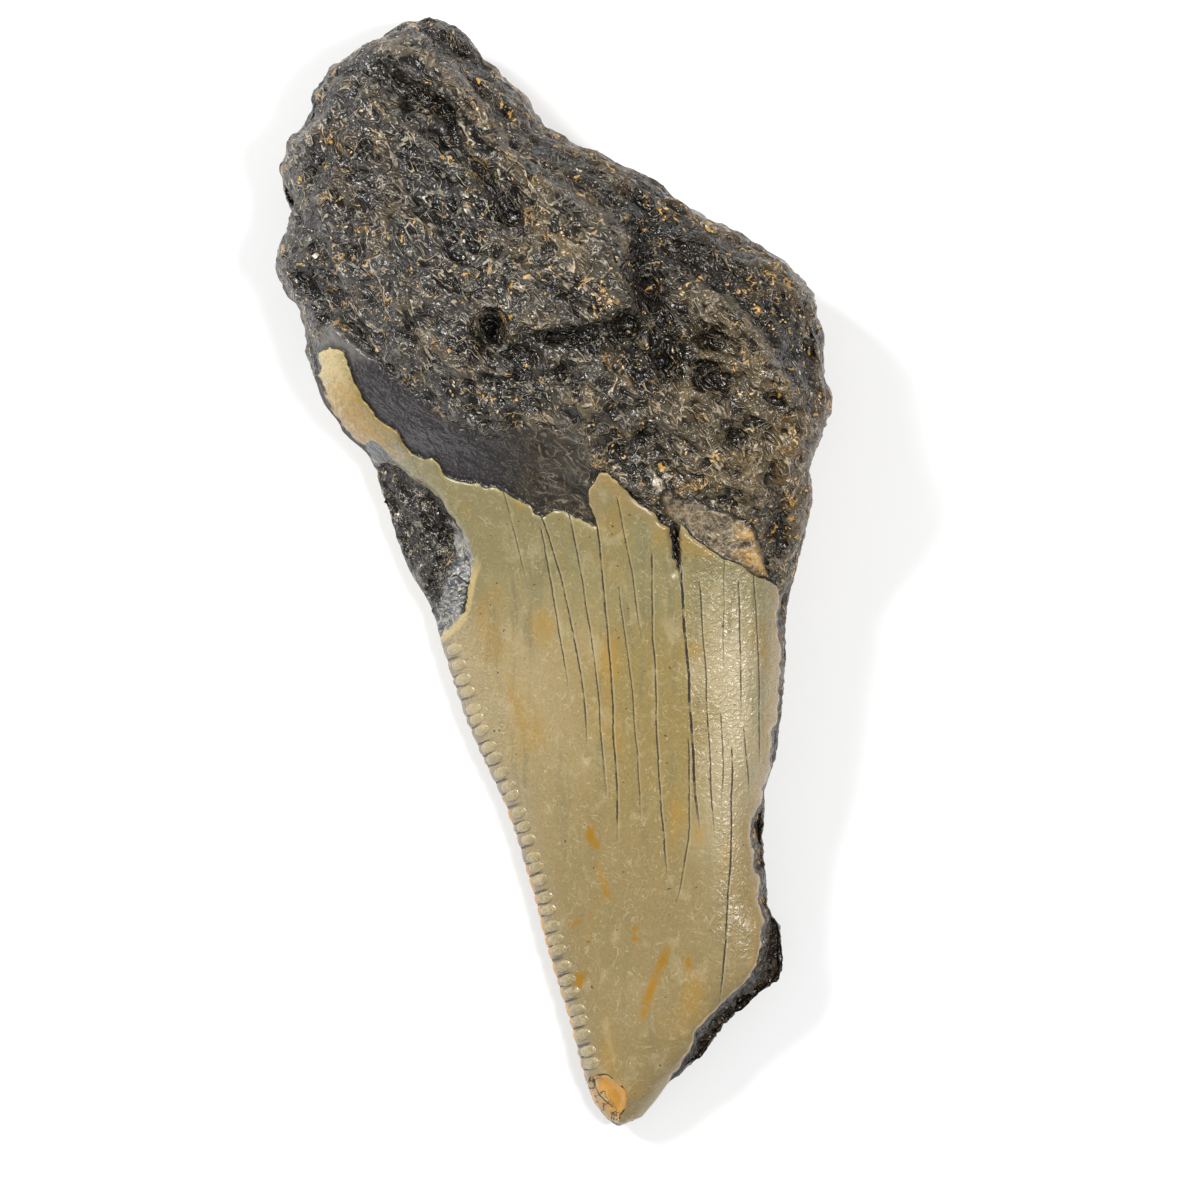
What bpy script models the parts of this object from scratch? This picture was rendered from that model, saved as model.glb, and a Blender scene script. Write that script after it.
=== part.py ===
"""A fossil megalodon tooth, broken along its length, lying on its flatter face.

The tooth is one natural piece: a rough root with pits and furrows, a smooth crown whose left edge is
serrated, a spall beside the crown's shoulder, and a fracture that runs down the right side to the tip.
X runs across the tooth, Y from the crown's tip to the root, and Z up from the table. Sizes below are in
millimetres.
"""

import math

import bmesh
import bpy
import numpy as np
from mathutils import Matrix, Vector, noise

MM = 0.001

# Driving dimensions.
ROOT_TOP = (-9.8, 44.35)
CROWN_TIP = (5.4, -44.35)
SERRATION_PITCH = 1.16
SERRATION_NOTCH = 0.16
SERRATION_RISE = 0.22
SERRATION_REACH = 1.4
SERRATION_LEAN = 0.31
SERRATED_FROM = -6.0
SERRATED_TO = -40.5
ENAMEL_STEP = 0.45
SPALL_CUT = 0.42
FRACTURE_CUT = 0.62
FRACTURE_FROM_X = 9.0
FRACTURE_FROM_Y = -1.8
ROOT_FROM_Y = -5.0
TIP_CHIP_DEPTH = 0.5

# Mesh densities: the tooth is modelled finely, then thinned where it is flat.
ROWS = 300
AROUND = 124
UPPER_SHARE = 0.62
PROFILE_SAMPLES = 260
TRIANGLES = 9400
FLAT_WITHIN = 0.03
POLE_CROWDING = 0.12
POLE_ZONE = 0.05
SHARP_FROM_DEGREES = 50

# The left and right edges seen from above, as (y, x) from the root down to the tip.
LEFT_EDGE = [
    (44.35, -9.8), (43.8, -11.8), (42.9, -13.2), (42.1, -15.1), (40.4, -17.5), (38.4, -19.0),
    (36.2, -19.5), (34.5, -21.1), (32.2, -21.9), (30.5, -21.4), (29.0, -20.8), (27.0, -21.2),
    (24.3, -22.1), (22.2, -21.0), (21.0, -20.1), (18.2, -19.8), (15.8, -19.2), (13.6, -18.3),
    (11.3, -16.8), (9.6, -15.0), (8.2, -14.0), (5.9, -13.4), (3.0, -12.5), (-0.2, -11.1), (-3.5, -9.4),
    (-5.2, -9.0), (-8.6, -8.0), (-11.8, -6.9), (-14.4, -5.8), (-18.3, -3.9), (-21.4, -2.8), (-26.2, -1.4),
    (-30.9, -0.2), (-35.6, 1.3), (-39.9, 2.4), (-42.5, 3.4), (-43.9, 4.5), (-44.35, 5.4),
]
RIGHT_EDGE = [
    (44.35, -9.8), (43.8, -7.7), (43.0, -6.8), (41.9, -5.9), (40.4, -5.0), (38.0, -2.4), (35.5, -0.4),
    (34.2, 1.6), (33.5, 3.6), (31.6, 7.5), (29.5, 10.4), (27.7, 13.4), (26.7, 15.8), (25.0, 18.6),
    (22.4, 20.6), (18.9, 21.5), (15.5, 21.7), (13.0, 22.1), (10.8, 21.6), (8.2, 20.7), (6.4, 20.8),
    (3.0, 20.2), (-2.6, 18.7), (-7.4, 18.6), (-11.7, 18.3), (-15.0, 17.8), (-17.3, 17.0), (-21.1, 16.8),
    (-26.5, 17.2), (-28.3, 18.2), (-31.6, 18.4), (-32.5, 18.1), (-34.4, 15.6), (-36.1, 13.7),
    (-38.7, 11.9), (-40.9, 9.3), (-42.3, 8.3), (-43.6, 7.2), (-44.35, 5.4),
]

# Cross-sections from the root down to the tip: where the upper and under faces meet at the left and right
# rims, how high the crest stands and where across the section it lies, how full the two flanks are (1 is
# straight, 2 is round, 4 is blunt), and how low the under face reaches before the table flattens it.
SECTION_FIELDS = ("y", "left_rim", "right_rim", "crest", "crest_at", "left_full", "right_full", "keel")
SECTIONS = [
    (44.35, 6.2, 6.2, 7.2, 0.50, 2.2, 2.2, 5.0),
    (42.5, 6.2, 6.6, 11.5, 0.56, 2.2, 2.2, 1.0),
    (38.0, 5.8, 7.0, 14.2, 0.60, 2.5, 2.3, -0.4),
    (32.0, 5.8, 7.6, 15.8, 0.62, 2.7, 2.2, -0.3),
    (26.0, 6.2, 8.0, 17.8, 0.62, 2.6, 2.2, 0.5),
    (20.0, 6.0, 8.0, 19.6, 0.66, 2.3, 2.6, 0.8),
    (14.0, 4.8, 7.2, 19.2, 0.70, 2.0, 3.0, 0.3),
    (9.0, 3.6, 6.2, 17.2, 0.72, 1.8, 3.0, -0.2),
    (4.0, 2.9, 5.0, 14.6, 0.72, 1.7, 3.2, -0.3),
    (0.0, 2.6, 4.2, 13.2, 0.72, 1.6, 3.4, -0.3),
    (-6.0, 2.3, 3.6, 12.2, 0.72, 1.5, 3.6, -0.3),
    (-14.0, 2.1, 3.2, 11.0, 0.72, 1.5, 3.6, -0.3),
    (-22.0, 2.0, 3.0, 9.8, 0.70, 1.5, 3.6, -0.2),
    (-30.0, 1.9, 2.8, 8.4, 0.62, 1.5, 3.6, -0.1),
    (-37.0, 1.8, 2.5, 6.8, 0.55, 1.6, 3.2, 0.2),
    (-42.0, 1.9, 2.3, 5.0, 0.50, 1.8, 2.6, 0.8),
    (-44.35, 2.3, 2.3, 3.0, 0.50, 2.2, 2.2, 1.6),
]
UNDER_FULLNESS = 2.6

# Regions seen from above, as (x, y) outlines. Each may run past the tooth's own edge.
ENAMEL = [
    (-18.6, 17.6), (-17.5, 18.1), (-16.6, 17.6), (-15.8, 14.9), (-13.8, 12.3), (-11.8, 10.2), (-9.8, 9.0),
    (-8.2, 7.7), (-5.1, 6.8), (-3.3, 6.4), (-1.7, 5.2), (-0.8, 4.4), (0.2, 4.9), (1.8, 4.6), (3.4, 3.4),
    (3.0, 6.6), (3.8, 7.9), (4.6, 7.8), (6.1, 6.0), (8.2, 4.6), (9.1, 3.8), (9.3, 2.5), (9.8, 0.9),
    (10.1, -0.4), (10.2, 1.2), (10.3, 4.0), (11.5, 2.7), (13.0, 1.4), (15.6, 0.3), (18.0, -1.1), (18.2, -5.4),
    (18.2, -9.1), (17.5, -13.0), (17.4, -15.5), (16.2, -19.4), (15.8, -20.2), (16.2, -22.2),
    (16.9, -28.0), (16.5, -31.2), (15.4, -32.9), (12.2, -35.7), (11.2, -37.6), (10.1, -39.5),
    (9.3, -40.9), (10.6, -42.0), (8.0, -45.5), (1.0, -42.0), (-5.0, -21.0), (-11.0, -6.5),
    (-9.0, -5.2), (-7.0, -3.2), (-6.4, 1.0), (-7.6, 4.0),
    (-9.3, 6.2), (-11.4, 7.9), (-13.0, 8.8), (-14.4, 8.8), (-18.6, 12.2), (-20.0, 14.6), (-18.6, 16.0),
]
SMOOTH_BAND = [
    (-18.6, 19.4), (-17.6, 19.8), (-15.6, 18.2), (-12.8, 16.0), (-10.3, 13.8), (-7.9, 11.8), (-5.1, 10.6),
    (-2.7, 11.5), (-0.3, 11.8), (2.1, 10.6), (3.3, 8.2), (3.7, 3.0), (0.5, 3.4), (-4.3, 5.0), (-9.1, 6.6),
    (-12.3, 9.4), (-15.5, 13.0), (-18.6, 16.8),
]
TONGUE = [
    (9.2, 6.8), (12.2, 5.3), (14.5, 4.6), (16.3, 3.2), (17.4, -0.5), (15.7, -0.2), (11.7, 1.0),
    (8.9, 4.8),
]
SPALL = [
    (-13.0, 8.9), (-11.4, 8.0), (-9.6, 6.5), (-8.4, 4.6), (-7.6, 2.8), (-8.2, 1.2), (-9.3, -0.8),
    (-10.0, -2.2), (-12.5, -2.0), (-16.0, 4.2), (-15.6, 8.0),
]
TIP_CHIP = [
    (3.2, -40.1), (4.4, -40.2), (5.4, -40.9), (5.9, -41.9), (5.9, -42.9), (5.4, -43.6), (5.1, -45.0),
    (1.0, -43.0), (2.6, -41.0),
]

# Forms on the upper face of the root. Furrows and ridges are (line, width, depth or rise). A ledge is
# (line, width, drop, reach): the ground is lower on its line's left-hand side and comes back over its reach.
# Pits are (x, y, half width in x, half width in y, depth), and mounds (x, y, radius, rise).
FURROWS = [
    ([(-13.6, 40.3), (-11.7, 38.7), (-8.8, 37.2), (-7.4, 34.2), (-5.2, 31.2), (-3.2, 28.4)], 0.9, 1.5),
    ([(-1.4, 19.0), (1.4, 18.5), (3.7, 19.7), (6.1, 20.0)], 0.7, 0.9),
    ([(7.5, 25.8), (6.9, 24.0), (7.7, 21.8), (9.4, 18.2)], 0.8, 0.9),
    ([(17.4, 10.6), (17.7, 5.8), (18.1, 1.0)], 0.8, 1.0),
    ([(12.0, 18.3), (14.4, 17.7)], 0.7, 0.9),
    ([(9.8, 4.6), (9.7, 2.4), (10.2, 0.3)], 0.35, 0.7),
]
CREST_LINE = [
    (-12.3, 42.0), (-9.9, 41.0), (-6.9, 38.2), (-5.1, 35.6), (-1.8, 31.8), (0.8, 30.4), (5.6, 28.4),
]
RIDGES = [
    (CREST_LINE, 1.3, 0.9),
    ([(-13.0, 36.4), (-9.8, 34.6), (-6.0, 30.6), (-4.4, 29.0)], 0.9, 0.5),
]
BEVEL_LINE = [
    (-11.0, 44.0), (-8.3, 40.9), (-5.3, 37.6), (-3.4, 33.8), (-0.3, 31.4), (3.4, 29.0), (10.0, 24.6),
    (15.4, 20.6), (18.0, 16.6),
]
BAND_LINE = [(-5.0, 10.7), (-8.0, 11.9), (-10.4, 13.9), (-12.9, 16.2), (-15.8, 18.6), (-19.5, 19.9)]
LEDGES = [
    (BEVEL_LINE, 1.0, 1.7, 4.5),
    ([(6.2, 27.4), (6.0, 24.0), (6.7, 21.5), (7.5, 19.0)], 1.1, 1.1, 4.0),
    ([(15.4, 15.8), (12.0, 16.9), (8.0, 17.6), (3.0, 19.5), (-1.1, 19.0)], 1.1, 0.9, 3.2),
    (BAND_LINE, 0.6, 0.8, 3.0),
    ([(-18.5, 32.6), (-16.6, 35.4), (-15.0, 38.4), (-16.0, 42.0)], 0.8, 0.9, 2.2),
]
PITS = [
    (-15.8, 25.3, 0.8, 0.8, 1.3), (-17.1, 21.9, 1.1, 0.6, 1.0), (-4.8, 19.5, 1.0, 1.2, 2.6),
    (6.1, 19.4, 1.5, 1.0, 1.5), (9.4, 17.0, 1.0, 1.4, 1.3), (-2.4, 16.0, 0.8, 0.8, 0.9),
    (0.8, 15.7, 0.8, 0.9, 1.1), (14.6, 10.4, 1.5, 0.9, 1.1), (17.8, 13.8, 1.0, 1.0, 1.0),
    (-8.4, 36.9, 1.0, 0.9, 1.3), (-19.0, 37.1, 0.8, 0.8, 1.1), (-20.8, 29.8, 0.7, 0.8, 0.9),
    (7.1, 10.7, 0.7, 0.9, 0.8), (8.2, 22.4, 1.0, 1.5, 1.1), (13.1, 15.4, 1.3, 0.8, 1.0),
    (-2.6, 17.4, 1.6, 0.8, 1.0), (-5.0, 14.8, 1.5, 0.9, 0.8), (11.8, 12.2, 0.8, 1.2, 1.0),
]
MOUNDS = [
    (-10.7, 18.6, 2.4, 0.8), (4.6, 24.0, 3.2, 0.9), (16.0, 19.6, 3.0, 0.8), (-13.5, 31.0, 4.5, 0.7),
    (2.6, 14.0, 2.4, 0.7), (12.4, 13.6, 2.2, 0.7), (-20.6, 25.0, 1.6, 0.6), (-20.2, 33.0, 1.8, 0.7),
]

# Roughness of the worn root and of the broken faces, as (wavelength, height). The root's lumps are longer
# along its grain, which runs down to the right.
ROOT_LUMPS = [(7.0, 1.5), (3.2, 1.3), (1.6, 0.55)]
ROOT_GRAIN_DEGREES = -50
ROOT_GRAIN_STRETCH = 1.7
BREAK_LUMPS = [(3.0, 0.22), (1.2, 0.14)]
WALL_LUMPS = [(3.4, 0.6), (1.6, 0.3)]
UNDER_ROUGHNESS = 0.5
SHAPE_SEED = Vector((3.1, 7.7, 1.9))

TOOTH_COLOUR = (0.20, 0.17, 0.11, 1.0)
TOOTH_ROUGHNESS = 0.5


def clear_scene():
    """Starts from an empty scene."""
    for obj in list(bpy.data.objects):
        bpy.data.objects.remove(obj, do_unlink=True)


def ramp(low, high, value):
    """Rises smoothly from 0 at low to 1 at high."""
    t = np.clip((value - low) / (high - low), 0.0, 1.0)
    return t * t * (3.0 - 2.0 * t)


def row_heights():
    """The y of each ring, from the root's top to the crown's tip, closer together at the two ends."""
    steps = np.linspace(0.0, 1.0, ROWS + 1)
    middle = (steps[1:] + steps[:-1]) / 2
    spacing = POLE_CROWDING + (1 - POLE_CROWDING) * ramp(0.0, POLE_ZONE, np.minimum(middle, 1 - middle))
    travelled = np.concatenate([[0.0], np.cumsum(spacing)])
    return ROOT_TOP[1] + (CROWN_TIP[1] - ROOT_TOP[1]) * travelled / travelled[-1]


def along(points, y):
    """Reads a list of (y, value) that runs from the root to the tip."""
    table = np.array(points)[::-1]
    return np.interp(y, table[:, 0], table[:, 1])


def section_value(field, y):
    """Reads one of the section's sizes at y."""
    column = SECTION_FIELDS.index(field)
    return along([(row[0], row[column]) for row in SECTIONS], y)


def flank(distance, fullness):
    """How high a flank stands at a distance from the crest: 1 at the crest, 0 at the rim."""
    return (1.0 - distance**fullness) ** (1.0 / fullness)


def serration_phase(y, from_edge=0.0):
    """Counts serrations along the crown's left edge: a whole number at each notch and its groove."""
    fine = np.linspace(SERRATED_FROM, SERRATED_TO, 400)
    run = np.concatenate([[0.0], np.cumsum(np.hypot(np.diff(fine), np.diff(along(LEFT_EDGE, fine))))])
    return np.interp(SERRATION_LEAN * from_edge - y, -fine, run / SERRATION_PITCH)


def serrated(y):
    """1 where the left edge is serrated, 0 elsewhere."""
    return ramp(SERRATED_FROM, SERRATED_FROM - 1.5, y) * ramp(SERRATED_TO - 0.8, SERRATED_TO, y)


def edges(y):
    """The left and right limits of the tooth at y."""
    return along(LEFT_EDGE, y), along(RIGHT_EDGE, y)


def notches(y):
    """How deep the serrations' notches cut into the left edge at y."""
    return SERRATION_NOTCH * (1.0 - np.abs(np.sin(math.pi * serration_phase(y)))) * serrated(y)


def profile(y, across):
    """Upper and under face heights at shares across the section at y."""
    value = {field: float(section_value(field, y)) for field in SECTION_FIELDS[1:]}
    at = value["crest_at"]
    rim = value["left_rim"] + (value["right_rim"] - value["left_rim"]) * across
    left = flank(np.clip((at - across) / at, 0, 1), value["left_full"])
    right = flank(np.clip((across - at) / (1 - at), 0, 1), value["right_full"])
    upper = rim + (value["crest"] - rim) * np.where(across < at, left, right)
    under = rim + (value["keel"] - rim) * flank(np.abs(2 * across - 1), UNDER_FULLNESS)
    return upper, under


def spread(x, z, count):
    """count + 1 points, evenly spaced along the line through x and z."""
    run = np.concatenate([[0.0], np.cumsum(np.hypot(np.diff(x), np.diff(z)))])
    wanted = np.linspace(0.0, run[-1], count + 1)
    return np.interp(wanted, run, x), np.interp(wanted, run, z)


def ring(y):
    """The points of the section at y, once around: over the top from left to right, and back underneath."""
    across = (1 - np.cos(np.linspace(0.0, math.pi, PROFILE_SAMPLES))) / 2
    low, high = edges(y)
    x = low + (high - low) * across
    x += notches(y) * np.exp(-(x - low) / SERRATION_REACH)
    upper, under = profile(y, across)
    over = round(AROUND * UPPER_SHARE)
    upper_x, upper_z = spread(x, upper, over)
    under_x, under_z = spread(x[::-1], under[::-1], AROUND - over)
    return np.concatenate([upper_x[:-1], under_x[:-1]]), np.concatenate([upper_z[:-1], under_z[:-1]])


def from_stretch(start, end, x, y):
    """Distance from the straight stretch between two points."""
    (ax, ay), (bx, by) = start, end
    dx, dy = bx - ax, by - ay
    run = np.clip(((x - ax) * dx + (y - ay) * dy) / (dx**2 + dy**2), 0, 1)
    return np.hypot(x - ax - run * dx, y - ay - run * dy)


def inside(outline, x, y):
    """Distance from an outline, positive inside it."""
    nearest = np.full(x.shape, np.inf)
    within = np.zeros(x.shape, bool)
    for (ax, ay), (bx, by) in zip(outline, outline[1:] + outline[:1]):
        nearest = np.minimum(nearest, from_stretch((ax, ay), (bx, by), x, y))
        crosses = (ay > y) != (by > y)
        level = np.where(crosses, y, ay)
        within ^= crosses & (x < ax + (level - ay) * (bx - ax) / ((by - ay) or 1.0))
    return np.where(within, nearest, -nearest)


def from_line(points, x, y):
    """Distance from an open line."""
    return np.min([from_stretch(start, end, x, y) for start, end in zip(points, points[1:])], axis=0)


def left_of_line(points, x, y):
    """Distance to the left of an open line, walked from its first point; negative to the right of it."""
    nearest = np.full(x.shape, np.inf)
    signed = np.zeros(x.shape)
    for (ax, ay), (bx, by) in zip(points, points[1:]):
        away = from_stretch((ax, ay), (bx, by), x, y)
        side = ((bx - ax) * (y - ay) - (by - ay) * (x - ax)) / math.hypot(bx - ax, by - ay)
        closer = away < nearest
        signed = np.where(closer, np.copysign(away, side), signed)
        nearest = np.minimum(nearest, away)
    return signed


def lumps(places, waves):
    """Rough ground: noise of several wavelengths at each place."""
    height = np.zeros(len(places))
    for wavelength, amount in waves:
        height += amount * np.array([noise.noise(Vector(p) / wavelength + SHAPE_SEED) for p in places])
    return height


def with_grain(places):
    """The places turned to the root's grain and drawn together along it, for lumps longer that way."""
    grain = math.radians(ROOT_GRAIN_DEGREES)
    x, y, z = places.T
    along_grain = x * math.cos(grain) + y * math.sin(grain)
    across_grain = y * math.cos(grain) - x * math.sin(grain)
    return np.column_stack([along_grain / ROOT_GRAIN_STRETCH, across_grain, z])


def rough_root(x, y, enamel):
    """1 on the rough root, 0 on the enamel, the smooth band and the tongue beside it."""
    smooth = np.maximum(inside(SMOOTH_BAND, x, y), inside(TONGUE, x, y))
    return ramp(0.3, -0.5, np.maximum(smooth, enamel))


def landforms(x, y):
    """The root's named furrows, ridges, pits and mounds."""
    height = np.zeros(x.shape)
    for line, width, depth in FURROWS:
        height -= depth * np.exp(-((from_line(line, x, y) / width) ** 2))
    for line, width, rise in RIDGES:
        height += rise * np.exp(-((from_line(line, x, y) / width) ** 2))
    for line, width, drop, reach in LEDGES:
        beside = left_of_line(line, x, y)
        height -= drop * ramp(-width / 2, width / 2, beside) * np.exp(-((beside / reach) ** 2))
    for px, py, rx, ry, depth in PITS:
        height -= depth * np.exp(-(((x - px) / rx) ** 2 + ((y - py) / ry) ** 2) ** 1.5)
    for mx, my, radius, rise in MOUNDS:
        height += rise * np.exp(-(((x - mx) ** 2 + (y - my) ** 2) / radius**2))
    return height


def above_rim(x, y, z):
    """How far each place stands above the straight line between the two rims."""
    low, high = edges(y)
    across = np.clip((x - low) / (high - low), 0, 1)
    left, right = section_value("left_rim", y), section_value("right_rim", y)
    return np.maximum(z - left - (right - left) * across, 0.0)


def upper_relief(places):
    """How far the upper face stands above its plain section at each place."""
    x, y, z = places.T
    enamel = inside(ENAMEL, x, y)
    rough = rough_root(x, y, enamel) * ramp(ROOT_FROM_Y - 2.0, ROOT_FROM_Y + 2.0, y)
    ground = landforms(x, y) + lumps(with_grain(places), ROOT_LUMPS)
    relief = ENAMEL_STEP * ramp(-0.15, 0.2, enamel) + rough * ground
    spall = ramp(-0.5, 0.6, inside(SPALL, x, y))
    fracture = ramp(0.1, -1.0, enamel) * ramp(FRACTURE_FROM_Y + 1.2, FRACTURE_FROM_Y - 1.2, y)
    fracture *= ramp(FRACTURE_FROM_X - 1.0, FRACTURE_FROM_X + 1.0, x)
    relief -= above_rim(x, y, z) * (SPALL_CUT * spall + FRACTURE_CUT * fracture)
    relief += (spall + fracture) * lumps(places, BREAK_LUMPS)
    relief -= TIP_CHIP_DEPTH * ramp(0.0, 0.6, inside(TIP_CHIP, x, y))
    from_edge = x - edges(y)[0]
    rib = np.abs(np.sin(math.pi * serration_phase(y, from_edge))) - 2 / math.pi
    return relief + SERRATION_RISE * rib * serrated(y) * ramp(SERRATION_REACH, 0.2, from_edge)


def side_relief(places, facing):
    """How far the root's walls and its worn under face stand out from their plain section at each place."""
    walls = ramp(-0.8, -0.2, facing) * lumps(places, WALL_LUMPS)
    under = ramp(-0.2, -0.8, facing) * UNDER_ROUGHNESS * lumps(with_grain(places), ROOT_LUMPS)
    return ramp(2.0, 12.0, places[:, 1]) * (walls + under)


def shape_tooth(mesh_builder):
    """Moves a sphere's points onto the tooth's sections, then raises the relief on them."""
    ys = row_heights()
    rings = [ring(y) for y in ys]
    for vert in mesh_builder.verts:
        row = round(math.acos(max(-1.0, min(1.0, vert.co.z))) / math.pi * ROWS)
        column = round(math.atan2(vert.co.y, -vert.co.x) / (2 * math.pi) * AROUND) % AROUND
        xs, zs = rings[row]
        vert.co = (xs[column], ys[row], zs[column])
    bmesh.ops.reverse_faces(mesh_builder, faces=mesh_builder.faces)
    mesh_builder.normal_update()
    places = np.array([vert.co for vert in mesh_builder.verts])
    facing = np.array([vert.normal.z for vert in mesh_builder.verts])
    upward = ramp(-0.05, 0.25, facing)
    upper = upper_relief(places) * upward
    sideways = side_relief(places, facing) * (1 - upward)
    for vert, rise, swell in zip(mesh_builder.verts, upper, sideways):
        vert.co += Vector((0, 0, rise)) + vert.normal * swell
        vert.co.z = max(vert.co.z, 0.0)


def thinned(obj, triangles):
    """A plain mesh of about this many triangles, with the faces that rest on the table flat again."""
    thin = obj.modifiers.new("thin where flat", "DECIMATE")
    thin.ratio = triangles / (2 * len(obj.data.vertices))
    graph = bpy.context.evaluated_depsgraph_get()
    mesh = bpy.data.meshes.new_from_object(obj.evaluated_get(graph))
    obj.modifiers.clear()
    for vert in mesh.vertices:
        if vert.co.z < FLAT_WITHIN * MM:
            vert.co.z = 0.0
    return mesh


def centred(mesh):
    """The mesh with its bounding box centred over the origin, still resting on the table."""
    places = np.array([vert.co for vert in mesh.vertices])
    middle = (places.max(axis=0) + places.min(axis=0)) / 2
    mesh.transform(Matrix.Translation((-middle[0], -middle[1], 0.0)))
    return mesh


def tooth_material():
    """A stand-in finish between the dark root and the olive crown."""
    material = bpy.data.materials.new("fossil tooth")
    material.use_nodes = True
    surface = material.node_tree.nodes["Principled BSDF"]
    surface.inputs["Base Color"].default_value = TOOTH_COLOUR
    surface.inputs["Roughness"].default_value = TOOTH_ROUGHNESS
    surface.inputs["Metallic"].default_value = 0.0
    return material


def make_tooth(collection):
    """The whole tooth: root, crown and broken faces in one solid."""
    builder = bmesh.new()
    bmesh.ops.create_uvsphere(builder, u_segments=AROUND, v_segments=ROWS, radius=1.0)
    shape_tooth(builder)
    bmesh.ops.scale(builder, vec=(MM, MM, MM), verts=builder.verts)
    mesh = bpy.data.meshes.new("tooth fine")
    builder.to_mesh(mesh)
    builder.free()
    tooth = bpy.data.objects.new("tooth", mesh)
    collection.objects.link(tooth)
    bpy.context.view_layer.update()
    tooth.data = centred(thinned(tooth, TRIANGLES))
    tooth.data.materials.append(tooth_material())
    tooth.data.shade_smooth()
    tooth.data.set_sharp_from_angle(angle=math.radians(SHARP_FROM_DEGREES))
    return tooth


def main():
    """Models the tooth in a collection of its own."""
    clear_scene()
    collection = bpy.data.collections.new("megalodon tooth")
    bpy.context.scene.collection.children.link(collection)
    make_tooth(collection)


main()
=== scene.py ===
"""The looks of a broken fossil megalodon tooth that lies on a pale floor, seen from straight above.

The tooth is one piece. Its form comes from cross-sections between two traced edges, with the root's furrows,
ledges, pits and lumps raised on it. Regions such as the enamel, the smooth band above it, the spalls and the
fracture are stored on its points as signed distances in millimetres, and one material reads them. Geometry
Nodes lay the serrations along the cutting edge and scatter mineral grains and enamel splinters. X runs across
the tooth, Y from the crown's tip to the root, and Z up from the floor. Tables are in millimetres.
"""

import logging
import math
from collections.abc import Callable, Sequence
from dataclasses import dataclass, field
from enum import Enum
from functools import reduce

import bpy
import numpy as np
from mathutils import Matrix, Vector, noise


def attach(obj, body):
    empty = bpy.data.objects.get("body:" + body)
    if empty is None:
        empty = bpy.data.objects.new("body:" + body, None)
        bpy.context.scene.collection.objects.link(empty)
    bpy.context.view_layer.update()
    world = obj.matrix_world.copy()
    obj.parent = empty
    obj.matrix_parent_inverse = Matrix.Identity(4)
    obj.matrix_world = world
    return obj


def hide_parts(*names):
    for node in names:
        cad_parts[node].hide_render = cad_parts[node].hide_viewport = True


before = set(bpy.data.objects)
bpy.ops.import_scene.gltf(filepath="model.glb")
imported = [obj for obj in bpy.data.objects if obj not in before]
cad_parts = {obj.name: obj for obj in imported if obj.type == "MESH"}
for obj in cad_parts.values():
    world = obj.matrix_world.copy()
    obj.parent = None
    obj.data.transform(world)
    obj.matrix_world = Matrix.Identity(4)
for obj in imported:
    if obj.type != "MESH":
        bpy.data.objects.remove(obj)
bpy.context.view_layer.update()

LOG = logging.getLogger("tooth")

MM = 0.001
BODY = "root"
NODE = "tooth"

Array = np.ndarray
Line = Sequence[tuple[float, float]]
Colour = tuple[float, float, float]
Mesh = bpy.types.Mesh
Object = bpy.types.Object
Material = bpy.types.Material
Socket = bpy.types.NodeSocket
Paint = Socket | Colour


class Region(Enum):
    """What the finishes read from the tooth's points.

    Most are signed distances in millimetres, positive inside. UPPER is 1 on the upper face, CREST runs from 0
    in the root's creases to 1 on their crests, HOLLOW is the height of the root's larger forms, and SERRATION
    counts the serrations.
    """

    ENAMEL = "enamel"
    BAND = "band"
    TONGUE = "tongue"
    SPALL = "spall"
    FRAYED = "frayed"
    STRIP = "strip"
    SHOULDER_CHIP = "shoulder_chip"
    TIP_CHIP = "tip_chip"
    STAIN = "stain"
    OCHRE = "ochre"
    RIM = "rim"
    BEVEL = "bevel"
    EDGE = "edge"
    FAR_EDGE = "far_edge"
    UPPER = "upper"
    CREST = "crest"
    HOLLOW = "hollow"
    SERRATION = "serration"


@dataclass(frozen=True)
class Section:
    """One cross-section of the tooth.

    The rims are where the upper and under faces meet. The crest is the highest line, at a share of the width.
    A flank's fullness is 1 for straight, 2 for round and 4 for blunt. The keel is the under face before the
    floor flattens it.
    """

    y: float
    left_rim: float
    right_rim: float
    crest: float
    crest_at: float
    left_full: float
    right_full: float
    keel: float


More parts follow.
